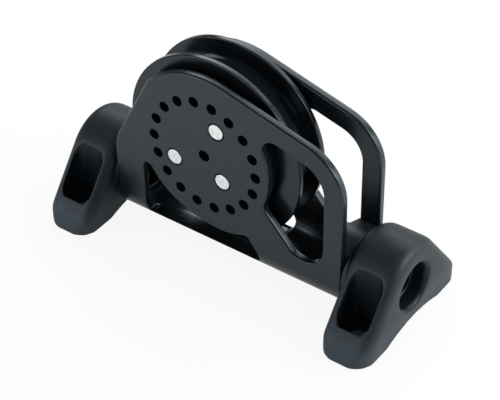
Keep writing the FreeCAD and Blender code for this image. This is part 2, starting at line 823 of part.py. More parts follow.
# Feet: moulded saddles that seat the tubes and take the deck screws in two deep pockets each
def make_feet():
    for name, sign in (("foot_left", -1), ("foot_right", 1)):
        body = new_body(name)
        draw_foot_solid(body, name)
        # Crown and flank edges, all round the trimmed plan
        dress_edges(
            body, "Fillet", f"{name}_end_rounds", size["end_round"],
            lambda point: on_end_edge(point) and near(point.x, size["foot_depth"].value))
        bore = new_sketch(body, f"{name}_bore_outline", "YZ_Plane")
        circle(bore, 0, 0, tube_hole_radius)
        pocket(body, f"{name}_bore", bore, symmetric=True)
        dress_edges(
            body, "Chamfer", f"{name}_bore_mouth", size["bore_bevel"],
            lambda point: near(math.hypot(point.y, point.z), tube_hole_radius.value)
            and near(point.x, size["foot_depth"].value))
        cut_screw_pockets(body, name)
        place(body, foot_inner * sign, 0, pivot_up, turned=sign < 0)


def on_end_edge(point):
    """True for a point on the crown or on a flank of a foot, above its toe walls."""
    radius = foot_crown_radius.value
    lean = math.acos(radius / math.hypot(size["toe_half"].value, toe_rise.value)) - math.atan2(
        toe_rise.value, size["toe_half"].value)
    reach = abs(point.y) * math.cos(lean) + point.z * math.sin(lean)
    if point.z < radius * math.sin(lean):
        return near(reach, radius)
    return near(math.hypot(point.y, point.z), radius)


def draw_foot_solid(body, name):
    """Raises the saddle on its profile, trims it to its plan, and hollows its underside."""
    hypotenuse = math.hypot(size["toe_half"].value, toe_rise.value)
    lean = Size(
        math.degrees(math.acos(foot_crown_radius.value / hypotenuse)
                     - math.atan(toe_rise.value / size["toe_half"].value)),
        f"((acos({foot_crown_radius.formula}"
        f" / sqrt({size['toe_half'].formula}^2 + {toe_rise.formula}^2))"
        f" - atan({toe_rise.formula} / {size['toe_half'].formula})) / 1 deg)")
    profile = new_sketch(body, f"{name}_profile", "YZ_Plane")
    region(
        profile,
        [
            Straight(270, pivot_up),
            Straight(0, size["toe_half"]),
            Straight(lean, foot_crown_radius),
            Round(foot_crown_radius),
            Straight(180 - lean, foot_crown_radius),
            Straight(180, size["toe_half"]),
        ],
        [Corner(), Corner(), Corner(tangent=True), Corner(tangent=True), Corner(), Corner()],
    )
    pad(body, f"{name}_saddle", profile, size["foot_depth"])

    plan = new_sketch(body, f"{name}_plan", "XY_Plane")
    margin = size["plan_round"]
    region(
        plan,
        [
            Straight(90, size["toe_half"]),
            Straight(180, 0),
            Straight(270, size["toe_half"]),
            Straight(0, size["foot_depth"]),
        ],
        [Corner(size["plan_round"])] * 4,
    )
    polygon(plan, [
        (-margin, -(size["toe_half"] + margin)), (size["foot_depth"] + margin, -(size["toe_half"] + margin)),
        (size["foot_depth"] + margin, size["toe_half"] + margin), (-margin, size["toe_half"] + margin)])
    pocket(body, f"{name}_plan_trim", plan, symmetric=True)

    rise, half = size["arch_rise"], size["arch_half"]
    arch_radius = (half * half + rise * rise) / (rise * 2)
    arch = new_sketch(body, f"{name}_arch", "YZ_Plane")
    circle(arch, 0, rise - arch_radius - pivot_up, arch_radius)
    pocket(body, f"{name}_arch_cut", arch, symmetric=True)


def cut_screw_pockets(body, name):
    """Cuts the pocket and the screw hole on one side and repeats them on the other."""
    half = foot_middle - size["pocket_side_wall"]
    plan = new_sketch(body, f"{name}_pocket_plan", "XY_Plane", lift=size["pocket_floor"] - pivot_up)
    region(
        plan,
        [
            Straight(0, foot_middle + half),
            Straight(90, pocket_outer),
            Straight(0, foot_middle - half, side=-1),
            Straight(90, pocket_inner, side=-1),
        ],
        [Corner(size["pocket_round"])] * 4,
    )
    recess = pocket(body, f"{name}_pocket", plan, backwards=True)
    hole = new_sketch(body, f"{name}_screw_plan", "XY_Plane")
    circle(hole, foot_middle, screw_across, size["screw_radius"])
    screw = pocket(body, f"{name}_screw_hole", hole, symmetric=True)
    mirror(body, f"{name}_other_side", [recess, screw], "XZ_Plane")


def write_parts():
    """Checks every object of the document, then writes each piece to its own file."""
    document.recompute()
    for item in document.Objects:
        if "Invalid" in item.State or "Error" in item.State:
            raise RuntimeError(f"{item.Label}: {item.State}")
    for piece in subparts:
        if piece.Shape.isNull() or not piece.Shape.isValid() or len(piece.Shape.Solids) != 1:
            raise RuntimeError(f"{piece.Label} is not one sound solid")
    os.makedirs("parts", exist_ok=True)
    for piece in subparts:
        piece.Shape.exportStep(f"parts/{piece.Label}.step")
        box = piece.Shape.BoundBox
        print(piece.Label, round(piece.Shape.Volume, 1), box)


make_side_frame()
make_bearing_hub()
make_hub_rivets()
make_thrust_washers()
make_sheave()
make_roller_cage()
make_rollers()
make_end_bushes()
make_lead_tubes()
make_feet()
write_parts()
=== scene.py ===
"""Pivoting lead block for a sailing deck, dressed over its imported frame.

Metres in the scene; the pieces' own sizes are in millimetres, as a maker's drawing gives them.
"""

import json
import logging
import math
from collections.abc import Callable, Sequence
from dataclasses import dataclass
from enum import Enum
from typing import Any, Self

import bmesh
import bpy
from mathutils import Matrix, Vector

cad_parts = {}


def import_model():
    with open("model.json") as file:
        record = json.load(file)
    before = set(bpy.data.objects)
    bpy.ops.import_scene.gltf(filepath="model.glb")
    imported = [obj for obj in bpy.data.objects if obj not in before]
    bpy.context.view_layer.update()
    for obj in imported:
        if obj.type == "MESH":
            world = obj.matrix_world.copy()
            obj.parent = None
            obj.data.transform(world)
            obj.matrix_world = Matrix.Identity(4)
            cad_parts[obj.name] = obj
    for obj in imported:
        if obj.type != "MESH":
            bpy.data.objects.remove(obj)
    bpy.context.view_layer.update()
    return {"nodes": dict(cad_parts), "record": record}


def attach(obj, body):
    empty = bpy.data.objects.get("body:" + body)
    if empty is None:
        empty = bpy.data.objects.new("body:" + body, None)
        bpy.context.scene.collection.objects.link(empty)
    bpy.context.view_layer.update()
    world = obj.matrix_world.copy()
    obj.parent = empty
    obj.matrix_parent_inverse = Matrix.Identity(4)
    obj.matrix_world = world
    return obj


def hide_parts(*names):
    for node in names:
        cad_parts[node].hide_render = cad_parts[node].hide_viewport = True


log = logging.getLogger("lead_block")

MM = 0.001
ORIGIN = Vector((0, 0, 0))

# Points of an outline closer than the first are one point, and vertices closer than the second
# are merged, both in millimetres
SAME_POINT = 1e-4
MERGE_REACH = 0.002

Point = tuple[float, float]


# Outlines

class Plane(Enum):
    """The plane that an outline is drawn in, as its level, upright and square directions."""

    FRONT = (Vector((1, 0, 0)), Vector((0, 0, 1)), Vector((0, 1, 0)))
    SIDE = (Vector((0, 1, 0)), Vector((0, 0, 1)), Vector((1, 0, 0)))
    TOP = (Vector((1, 0, 0)), Vector((0, 1, 0)), Vector((0, 0, 1)))

    def at(self, point: Point, centre: Vector) -> Vector:
        """Returns the place in the scene of a drawn point, given in millimetres from the centre."""
        level, upright, _ = self.value
        return centre + MM * (point[0] * level + point[1] * upright)

    @property
    def level(self) -> Vector:
        """Returns the direction across the outline."""
        return self.value[0]

    @property
    def square(self) -> Vector:
        """Returns the direction square to the plane."""
        return self.value[2]


@dataclass(frozen=True)
class Line:
    """A straight edge: the angle of its normal and its distance from the outline's centre.

    The outline lies on the near side of the line when side is 1, and beyond it when side is -1.
    A drop measures the distance from a point that far below the centre.
    """

    normal: float
    distance: float
    side: int = 1
    drop: float = 0.0

    @property
    def across(self) -> Point:
        """Returns the unit normal."""
        angle = math.radians(self.normal)
        return math.cos(angle), math.sin(angle)

    def gap(self, reach: float) -> float:
        """Returns how far the centre of a round lies from the outline's centre."""
        return self.distance - self.drop * self.across[1] - self.side * reach

    def touch(self, centre: Point, reach: float) -> Point:
        """Returns the point where a round leaves this edge."""
        return tuple(c + self.side * reach * n for c, n in zip(centre, self.across))


@dataclass(frozen=True)
class Ring:
    """A round edge about the outline's centre; the outline lies inside (1) or outside it (-1)."""

    radius: float
    side: int = 1

    def gap(self, reach: float) -> float:
        """Returns how far the centre of a round lies from the outline's centre."""
        return self.radius - self.side * reach

    def touch(self, centre: Point, reach: float) -> Point:
        """Returns the point where a round leaves this edge."""
        share = self.radius / math.hypot(*centre)
        return tuple(c * share for c in centre)


Edge = Line | Ring


@dataclass(frozen=True)
class Turn:
    """How one edge meets the next: its round, and which crossing of a line and a ring is meant."""

    radius: float = 0.0
    hand: int = 1
    hollow: bool = False

    @property
    def reach(self) -> float:
        """Returns the radius, below zero where the round bulges into the outline."""
        return -self.radius if self.hollow else self.radius

    def centre(self, first: Edge, second: Edge) -> Point:
        """Finds the centre of the round, or the meeting point where there is none.

        Args:
            first: One edge.
            second: The next edge; at most one of the two is a ring.

        Returns:
            The point that lies at the round's distance from both.
        """
        if isinstance(first, Line) and isinstance(second, Line):
            (a, b), (c, d) = first.across, second.across
            p, q = first.gap(self.reach), second.gap(self.reach)
            spread = a * d - b * c
            return (p * d - b * q) / spread, (a * q - p * c) / spread
        line, ring = (first, second) if isinstance(first, Line) else (second, first)
        square = line.gap(self.reach)
        beside = self.hand * math.sqrt(max(ring.gap(self.reach) ** 2 - square ** 2, 0.0))
        n = line.across
        return square * n[0] - beside * n[1], square * n[1] + beside * n[0]


@dataclass(frozen=True)
class Step:
    """One stretch of a path: straight to its end, or round a centre to its end."""

    end: Point
    centre: Point | None = None


class Path:
    """An outline as a start and the steps that come back to it, unless it is opened."""

    def __init__(self, start: Point) -> None:
        """Starts the path at a point."""
        self.start = start
        self.steps: list[Step] = []

    def run(self, end: Point) -> Self:
        """Adds a straight stretch, unless the path is already at its end.

        Args:
            end: Where it ends.

        Returns:
            The path.
        """
        last = self.steps[-1].end if self.steps else self.start
        if math.dist(last, end) > SAME_POINT:
            self.steps.append(Step(end))
        return self

    def bend(self, centre: Point, end: Point) -> Self:
        """Adds the short arc round a centre and returns the path."""
        self.steps.append(Step(end, centre))
        return self

    def opened(self) -> Self:
        """Leaves out the first stretch, as where a section lies on its axis, and returns the path."""
        self.start = self.steps.pop(0).end
        return self

    def swap_run(self, end: Point, steps: Sequence[Step]) -> None:
        """Puts other steps in the place of the straight stretch that ends at a point.

        Args:
            end: Where the stretch ends.
            steps: The new steps, with the same end.
        """
        for i, step in enumerate(self.steps):
            if step.centre is None and math.dist(step.end, end) < SAME_POINT:
                self.steps[i:i + 1] = steps
                return

    @classmethod
    def bounded(cls, edges: Sequence[Edge], turns: Sequence[Turn]) -> Self:
        """Makes the outline that a ring of edges bounds.

        Args:
            edges: The edges, in order.
            turns: How each edge meets the next.

        Returns:
            The closed path.
        """
        meets = []
        for i, turn in enumerate(turns):
            after = edges[(i + 1) % len(edges)]
            centre = turn.centre(edges[i], after)
            meets.append((centre, edges[i].touch(centre, turn.reach), after.touch(centre, turn.reach)))
        path = cls(meets[-1][2])
        for edge, turn, (centre, leave, arrive) in zip(edges, turns, meets):
            if isinstance(edge, Ring):
                path.bend((0.0, 0.0), leave)
            else:
                path.run(leave)
            if turn.radius > 0:
                path.bend(centre, arrive)
        return path

    @classmethod
    def polygon(cls, corners: Sequence[tuple[float, float, float]]) -> Self:
        """Makes a polygon whose corners are places with the radius of their round.

        Args:
            corners: Level place, upright place and radius of each corner.

        Returns:
            The closed path.
        """
        count = len(corners)
        cuts = []
        for i, (x, y, radius) in enumerate(corners):
            if radius == 0:
                cuts.append(((x, y), (x, y), None))
                continue
            before, after = corners[i - 1], corners[(i + 1) % count]
            back = Vector((before[0] - x, before[1] - y)).normalized()
            ahead = Vector((after[0] - x, after[1] - y)).normalized()
            half = back.angle(ahead) / 2
            slide, depth = radius / math.tan(half), radius / math.sin(half)
            middle = (back + ahead).normalized() * depth
            cuts.append((
                (x + back.x * slide, y + back.y * slide),
                (x + ahead.x * slide, y + ahead.y * slide),
                (x + middle.x, y + middle.y)))
        path = cls(cuts[-1][1])
        for arrive, leave, centre in cuts:
            path.run(arrive)
            if centre is not None:
                path.bend(centre, leave)
        return path


# Modelling by operators

def deselect() -> None:
    """Leaves edit mode and selects nothing."""
    active = bpy.context.view_layer.objects.active
    if active is not None and active.mode != "OBJECT":
        bpy.ops.object.mode_set(mode="OBJECT")
    bpy.ops.object.select_all(action="DESELECT")


def pick(obj: bpy.types.Object) -> None:
    """Makes an object the only one selected, and the active one.

    Args:
        obj: The object.
    """
    deselect()
    obj.select_set(True)
    bpy.context.view_layer.objects.active = obj


def to_mesh_units(obj: bpy.types.Object) -> None:
    """Moves an object's place, turn and scale into its mesh."""
    pick(obj)
    bpy.ops.object.transform_apply(location=True, rotation=True, scale=True)


def settle(obj: bpy.types.Object) -> None:
    """Turns the faces of a new solid outwards and puts them in a fixed order.

    Extrude and spin leave their order to chance, and later cuts would then differ in small ways
    from run to run.

    Args:
        obj: The solid, in edit mode.
    """
    bpy.ops.mesh.select_all(action="SELECT")
    bpy.ops.mesh.normals_make_consistent(inside=False)
    mesh = bmesh.from_edit_mesh(obj.data)
    mesh.verts.index_update()
    count = len(mesh.verts)

    def rank(element: bmesh.types.BMEdge | bmesh.types.BMFace) -> float:
        """Returns a number that sorts elements by their lowest vertices."""
        lowest = sorted(vertex.index for vertex in element.verts)[:3]
        return float(sum(index * count ** (2 - place) for place, index in enumerate(lowest)))

    mesh.edges.sort(key=rank)
    mesh.faces.sort(key=rank)
    bmesh.update_edit_mesh(obj.data)
    deselect()


class Pen:
    """Draws a path as by hand: straight stretches are extruded from a vertex, arcs are spun."""

    def __init__(self, name: str, plane: Plane, centre: Vector, arc_step: float) -> None:
        """Starts a new object with one vertex at the scene's origin.

        Args:
            name: The object's name.
            plane: The plane that the path lies in.
            centre: The outline's centre in the scene.
            arc_step: The largest turn between two vertices of an arc, in degrees.
        """
        self.plane = plane
        self.centre = centre
        self.arc_step = arc_step
        deselect()
        bpy.ops.mesh.primitive_plane_add(size=MM, location=(0, 0, 0))
        self.obj = bpy.context.active_object
        self.obj.name = name
        self.obj.data.name = name
        bpy.ops.object.mode_set(mode="EDIT")
        bpy.ops.mesh.select_mode(type="VERT")
        bpy.ops.mesh.select_all(action="SELECT")
        bpy.ops.mesh.merge(type="CENTER")

    def draw(self, path: Path) -> None:
        """Draws the whole path and closes it.

        Args:
            path: The outline, in millimetres about the pen's centre.
        """
        here = path.start
        bpy.ops.transform.translate(value=self.plane.at(here, self.centre))
        for step in path.steps:
            if step.centre is None:
                move = self.plane.at(step.end, self.centre) - self.plane.at(here, self.centre)
                bpy.ops.mesh.extrude_vertices_move(TRANSFORM_OT_translate={"value": move})
            else:
                self._spin(here, step)
            here = step.end
        bpy.ops.mesh.select_all(action="SELECT")
        bpy.ops.mesh.remove_doubles(threshold=MERGE_REACH * MM)

    def _spin(self, here: Point, step: Step) -> None:
        """Spins the last vertex round the centre of an arc.

        Args:
            here: Where the arc starts.
            step: The arc, of less than half a turn.
        """
        first = math.atan2(here[1] - step.centre[1], here[0] - step.centre[0])
        last = math.atan2(step.end[1] - step.centre[1], step.end[0] - step.centre[0])
        sweep = (last - first + math.pi) % (2 * math.pi) - math.pi
        level, upright, _ = self.plane.value
        bpy.ops.mesh.spin(
            steps=max(1, math.ceil(abs(math.degrees(sweep)) / self.arc_step)),
            angle=-sweep,
            center=self.plane.at(step.centre, self.centre),
            axis=level.cross(upright),
            dupli=False,
            use_auto_merge=False)

    def raise_solid(self, low: float, high: float) -> bpy.types.Object:
        """Fills the outline and extrudes it square to its plane.

        Args:
            low: Where the solid starts, in millimetres from the plane.
            high: Where it ends.

        Returns:
            The solid, with its place in its mesh.
        """
        bpy.ops.mesh.edge_face_add()
        bpy.ops.transform.translate(value=self.plane.square * low * MM)
        bpy.ops.mesh.extrude_region_move(
            TRANSFORM_OT_translate={"value": self.plane.square * (high - low) * MM})
        settle(self.obj)
        return self.obj

    def turn_solid(self, steps: int) -> bpy.types.Object:
        """Spins the closed outline all the way round the plane's level direction.

        Args:
            steps: How many steps a full turn has.

        Returns:
            The solid, with its place in its mesh.
        """
        bpy.ops.mesh.spin(
            steps=steps, angle=2 * math.pi, center=self.centre, axis=self.plane.level, dupli=False,
            use_auto_merge=True)
        bpy.ops.mesh.select_all(action="SELECT")
        bpy.ops.mesh.remove_doubles(threshold=MERGE_REACH * MM)
        settle(self.obj)
        return self.obj


def prism(name: str, plane: Plane, centre: Vector, path: Path, low: float, high: float,
          arc_step: float = 5.0) -> bpy.types.Object:
    """Draws an outline and raises it to a solid.

    Args:
        name: The object's name.
        plane: The outline's plane.
        centre: The outline's centre.
        path: The outline.
        low: Where the solid starts, in millimetres from the plane.
        high: Where it ends.
        arc_step: The largest turn between two vertices of an arc, in degrees.

    Returns:
        The solid.
    """
    pen = Pen(name, plane, centre, arc_step)
    pen.draw(path)
    return pen.raise_solid(low, high)


def lathe(name: str, plane: Plane, centre: Vector, path: Path, steps: int) -> bpy.types.Object:
    """Draws a half section and turns it about the plane's level direction.

    Args:
        name: The object's name.
        plane: The section's plane.
        centre: A point on the axis, from which the section is measured.
        path: The half section, as places along the axis and radii.
        steps: How many steps a full turn has.

    Returns:
        The solid.
    """
    pen = Pen(name, plane, centre, arc_step=15.0)
    pen.draw(path)
    return pen.turn_solid(steps)


def rod(radius: float, start: Vector, end: Vector, sides: int,
        end_radius: float | None = None) -> bpy.types.Object:
    """Makes a plain round rod or cone between two points.

    Args:
        radius: Its radius in millimetres at the start.
        start: One end of its axis.
        end: The other end.
        sides: How many sides it has.
        end_radius: Its radius at the other end, where it tapers.

    Returns:
        The rod.
    """
    deselect()
    run = end - start
    bpy.ops.mesh.primitive_cone_add(
        vertices=sides, radius1=radius * MM, radius2=(radius if end_radius is None else end_radius) * MM,
        depth=run.length, location=(start + end) / 2,
        rotation=run.to_track_quat("Z", "Y").to_euler())
    made = bpy.context.active_object
    to_mesh_units(made)
    return made


class Combine(Enum):
    """What a second solid does to the first."""

    CUT = "DIFFERENCE"
    TRIM = "INTERSECT"
    JOIN = "UNION"


def combine(target: bpy.types.Object, tools: Sequence[bpy.types.Object], how: Combine) -> None:
    """Cuts, trims or joins a solid with others, which are used up.

    Args:
        target: The solid that changes.
        tools: The other solids.
        how: What they do.
    """
    for tool in tools:
        pick(target)
        modifier = target.modifiers.new("combine", "BOOLEAN")
        modifier.operation = how.value
        modifier.solver = "EXACT"
        modifier.object = tool
        bpy.ops.object.modifier_apply(modifier=modifier.name)
        bpy.data.objects.remove(tool)


def round_edges(obj: bpy.types.Object, width: float, steps: int,
                test: Callable[[bmesh.types.BMEdge], bool]) -> None:
    """Rounds the edges that a test picks.

    Args:
        obj: The piece.
        width: How far the round reaches from the edge, in millimetres.
        steps: How many faces it has.
        test: Says which edges are rounded.
    """
    pick(obj)
    bpy.ops.object.mode_set(mode="EDIT")
    bpy.ops.mesh.select_mode(type="EDGE")
    bpy.ops.mesh.select_all(action="DESELECT")
    mesh = bmesh.from_edit_mesh(obj.data)
    mesh.normal_update()
    for edge in mesh.edges:
        if len(edge.link_faces) == 2 and test(edge):
            edge.select = True
    bmesh.update_edit_mesh(obj.data)
    bpy.ops.mesh.bevel(offset_type="OFFSET", offset=width * MM, segments=steps, profile=0.5,
                       affect="EDGES", clamp_overlap=False, miter_outer="ARC")
    deselect()


def weld(obj: bpy.types.Object, reach: float) -> None:
    """Merges vertices that lie close together.

    Args:
        obj: The piece.
        reach: The smallest distance that is kept, in millimetres.
    """
    pick(obj)
    bpy.ops.object.mode_set(mode="EDIT")
    bpy.ops.mesh.select_all(action="SELECT")
    bpy.ops.mesh.remove_doubles(threshold=reach * MM)
    deselect()


def break_edges(obj: bpy.types.Object, width: float, steps: int, angle: float = 35.0,
                clamp: bool = True) -> None:
    """Rounds every sharp edge of a piece.

    Args:
        obj: The piece.
        width: The width of the round in millimetres.
        steps: How many faces it has.
        angle: Edges sharper than this are rounded, in degrees.
        clamp: Whether short edges hold the width back.
    """
    pick(obj)
    modifier = obj.modifiers.new("edge_break", "BEVEL")
    modifier.width = width * MM
    modifier.segments = steps
    modifier.limit_method = "ANGLE"
    modifier.angle_limit = math.radians(angle)
    modifier.miter_outer = "MITER_ARC"
    modifier.use_clamp_overlap = clamp
    bpy.ops.object.modifier_apply(modifier=modifier.name)
    deselect()


def smooth(obj: bpy.types.Object, sharp: float = 35.0) -> None:
    """Smooths the shading of a piece and keeps its flat faces flat.

    Args:
        obj: The piece.
        sharp: Edges sharper than this stay sharp, in degrees.
    """
    pick(obj)
    bpy.ops.object.shade_smooth_by_angle(angle=math.radians(sharp))
    weighted = obj.modifiers.new("flat_faces_stay_flat", "WEIGHTED_NORMAL")
    weighted.keep_sharp = True
    # 50 is neutral, and at 100 the largest face at a corner sets the corner's normal
    weighted.weight = 100
    bpy.ops.object.modifier_apply(modifier=weighted.name)
    deselect()


def mould(obj: bpy.types.Object, grid: float, passes: int) -> None:
    """Gives a piece the soft edges of a moulding: an even grid of faces, relaxed.

    Args:
        obj: The piece.
        grid: The size of the faces in millimetres.
        passes: How often the grid is relaxed; more passes make rounder edges.
    """
    pick(obj)
    cover = obj.modifiers.new("even_grid", "REMESH")
    cover.mode = "VOXEL"
    cover.voxel_size = grid * MM
    bpy.ops.object.modifier_apply(modifier=cover.name)
    relax = obj.modifiers.new("relaxed", "SMOOTH")
    relax.factor = 0.5
    relax.iterations = passes
    bpy.ops.object.modifier_apply(modifier=relax.name)
    bpy.ops.object.shade_smooth()
    deselect()


# What all pieces share

class End(Enum):
    """An end of the block, as its direction along the swing axis."""

    LEFT = -1
    RIGHT = 1

    def name_of(self, piece: str) -> str:
        """Returns the name that a piece has at this end."""
        return f"{piece}_{self.name.lower()}"


@dataclass(frozen=True)
class Datum:
    """The axes and the shared sizes that the pieces are measured from, in millimetres.

    The frame's reaches and the rivets' places are measured from the sheave's axis, and the inner
    faces of the feet from the middle of the block.
    """

    pivot_up: float = 17.6
    sheave_along: float = -9.1
    sheave_up: float = 49.1
    frame_half: float = 14.1
    left_reach: float = 42.6
    right_reach: float = 60.2
    foot_face: float = 53.2
    rivets: tuple[tuple[str, Point], ...] = (
        ("top", (5.5, 13.0)), ("low", (7.9, -8.7)), ("left", (-13.8, -6.6)))

    @property
    def sheave(self) -> Vector:
        """Returns the middle of the sheave."""
        return Vector((self.sheave_along, 0.0, self.sheave_up)) * MM

    def pivot(self, along: float = 0.0) -> Vector:
        """Returns the point of the swing axis that lies so far along."""
        return Vector((along, 0.0, self.pivot_up)) * MM

    def frame_end(self, end: End) -> float:
        """Returns how far the frame reaches from the middle of the block at one end."""
        reach = self.right_reach if end is End.RIGHT else self.left_reach
        return reach + end.value * self.sheave_along


# Finishes

def srgb(code: str) -> tuple[float, float, float, float]:
    """Turns an sRGB hex colour to linear.

    Args:
        code: The colour, as a hash and six digits.

    Returns:
        Red, green, blue and alpha.
    """
    values = (int(code[i:i + 2], 16) / 255 for i in (1, 3, 5))
    linear = tuple(v / 12.92 if v <= 0.04045 else ((v + 0.055) / 1.055) ** 2.4 for v in values)
    return (*linear, 1.0)


def add_node(tree: bpy.types.NodeTree, kind: str, settings: dict[str | int, Any] | None = None,
             links: dict[str | int, bpy.types.NodeSocket] | None = None) -> bpy.types.Node:
    """Adds a node with its settings and links.

    Args:
        tree: The tree that it goes into.
        kind: The node's type.
        settings: Values by the name of a field or of an input socket; a number is a socket's place.
        links: Outputs of other nodes by the input that they feed.

    Returns:
        The node.
    """
    node = tree.nodes.new(kind)
    for key, value in (settings or {}).items():
        if isinstance(key, str) and hasattr(node, key):
            setattr(node, key, value)
        else:
            node.inputs[key].default_value = value
    for key, source in (links or {}).items():
        tree.links.new(source, node.inputs[key])
    return node


class Slot(Enum):
    """The material slots of the record."""

    FOOT = "foot_moulding"
    TUBE = "lead_tube"
    PLATE = "frame_plate"
    HUB = "bearing_hub"
    RIVET = "rivet"
    WASHER = "thrust_washer"
    BUSH = "end_bush"
    SHEAVE = "sheave"
    CAGE = "roller_cage"
    ROLLER = "roller"


# What black surfaces mirror of the studio, a little cooler than the paper itself
COOL = "#DDF2FF"

# The colour, the roughness and the bump that a finish feeds to its shader
Pattern = tuple[bpy.types.NodeSocket, bpy.types.NodeSocket, bpy.types.NodeSocket]


@dataclass(frozen=True)
class Finish:
    """A surface: colour, gloss and the grain that its making leaves.

    The grain is a fine noise whose pitch and depth are in millimetres. Clouds some ten
    millimetres wide vary the gloss by up to the cloud's value, as handling and anodising do, and
    the gain and the lift make the colour of the lighter ones. The span is the part of their noise
    over which the gloss changes.
    """

    slot: Slot
    title: str
    colour: str
    roughness: float
    metallic: float = 0.0
    specular: float = 0.5
    specular_tint: str = "#FFFFFF"
    grain_pitch: float = 0.5
    grain_depth: float = 0.01
    cloud: float = 0.06
    cloud_size: float = 14.0
    cloud_span: tuple[float, float] = (0.3, 0.7)
    cloud_gain: float = 1.25
    cloud_lift: float = 0.0005

    def make(self) -> bpy.types.Material:
        """Builds the material.

        Returns:
            The material, whose patterns lie on Object coordinates.
        """
        material = bpy.data.materials.new(self.title)
        material.use_nodes = True
        tree = material.node_tree
        tree.nodes.clear()
        place = add_node(tree, "ShaderNodeTexCoord").outputs["Object"]
        colour, roughness, normal = self.patterns(tree, place)
        shader = add_node(
            tree, "ShaderNodeBsdfPrincipled",
            {"Metallic": self.metallic, "Specular IOR Level": self.specular,
             "Specular Tint": srgb(self.specular_tint)},
            {"Base Color": colour, "Roughness": roughness, "Normal": normal})
        add_node(tree, "ShaderNodeOutputMaterial", links={"Surface": shader.outputs["BSDF"]})
        return material

    def patterns(self, tree: bpy.types.NodeTree, place: bpy.types.NodeSocket) -> Pattern:
        """Builds the colour, the roughness and the bump.

        Args:
            tree: The material's nodes.
            place: The object coordinates.

        Returns:
            The three outputs that feed the shader.
        """
        clouds = add_node(
            tree, "ShaderNodeTexNoise",
            {"Scale": 1 / (self.cloud_size * MM), "Detail": 3.0, "Roughness": 0.6}, {"Vector": place})
        grain = self.grain(tree, place)
        tint = add_node(
            tree, "ShaderNodeMixRGB",
            {"blend_type": "MIX", "Color1": srgb(self.colour), "Color2": self.lighter()},
            {"Fac": clouds.outputs["Fac"]})
        low, high = self.cloud_span
        gloss = add_node(
            tree, "ShaderNodeMapRange",
            {"From Min": low, "From Max": high, "To Min": self.roughness - self.cloud,
             "To Max": self.roughness + self.cloud},
            {"Value": clouds.outputs["Fac"]})
        bump = add_node(
            tree, "ShaderNodeBump", {"Strength": 1.0, "Distance": self.grain_depth * MM},
            {"Height": grain})
        return tint.outputs["Color"], gloss.outputs["Result"], bump.outputs["Normal"]

    def lighter(self) -> tuple[float, float, float, float]:
        """Returns the colour of the surface's lighter clouds."""
        base = srgb(self.colour)
        return (*(min(1.0, v * self.cloud_gain + self.cloud_lift) for v in base[:3]), 1.0)

    def grain(self, tree: bpy.types.NodeTree, place: bpy.types.NodeSocket) -> bpy.types.NodeSocket:
        """Builds the height of the grain, the same in every direction.

        Args:
            tree: The material's nodes.
            place: The object coordinates.

        Returns:
            The output that feeds the bump.
        """
        noise = add_node(
            tree, "ShaderNodeTexNoise",
            {"Scale": 1 / (self.grain_pitch * MM), "Detail": 2.0, "Roughness": 0.55},
            {"Vector": place})
        return noise.outputs["Fac"]


@dataclass(frozen=True)
class PaintedSheenFinish(Finish):
    """A surface painted lighter low down: a painted sheen that stands in for the light the toes catch.

    It is fully lightened below the low height and not at all above the high one, in millimetres
    above the deck.
    """

    # Colour of the painted sheen low down
    sheen_colour: str = "#2A3137"
    low: float = 5.0
    high: float = 14.0

    def patterns(self, tree: bpy.types.NodeTree, place: bpy.types.NodeSocket) -> Pattern:
        """Builds the three patterns, with the painted sheen colour mixed in by height.

        Args:
            tree: The material's nodes.
            place: The object coordinates.

        Returns:
            The three outputs that feed the shader.
        """
        colour, gloss, normal = super().patterns(tree, place)
        up = add_node(tree, "ShaderNodeSeparateXYZ", links={"Vector": place}).outputs["Z"]
        share = add_node(
            tree, "ShaderNodeMapRange",
            {"interpolation_type": "SMOOTHSTEP", "From Min": self.high * MM, "From Max": self.low * MM},
            {"Value": up})
        # Painted sheen: the colour turns lighter towards the deck, where the toes catch the light
        tint = add_node(
            tree, "ShaderNodeMixRGB", {"blend_type": "MIX", "Color2": srgb(self.sheen_colour)},
            {"Fac": share.outputs["Result"], "Color1": colour})
        return tint.outputs["Color"], gloss, normal


@dataclass(frozen=True)
class MottledFinish(Finish):
    """A faced metal head: specks under a millimetre wide between bright and dull."""

    dull: str = "#DADEE0"
    speck: float = 0.9
    speck_span: tuple[float, float] = (0.42, 0.66)

    def patterns(self, tree: bpy.types.NodeTree, place: bpy.types.NodeSocket) -> Pattern:
        """Builds the three patterns, with the specks mixed into the colour.

        Args:
            tree: The material's nodes.
            place: The object coordinates.

        Returns:
            The three outputs that feed the shader.
        """
        colour, gloss, normal = super().patterns(tree, place)
        noise = add_node(
            tree, "ShaderNodeTexNoise",
            {"Scale": 1 / (self.speck * MM), "Detail": 2.0, "Roughness": 0.7}, {"Vector": place})
        low, high = self.speck_span
        share = add_node(
            tree, "ShaderNodeMapRange", {"From Min": low, "From Max": high},
            {"Value": noise.outputs["Fac"]})
        tint = add_node(
            tree, "ShaderNodeMixRGB", {"blend_type": "MIX", "Color2": srgb(self.dull)},
            {"Fac": share.outputs["Result"], "Color1": colour})
        return tint.outputs["Color"], gloss, normal


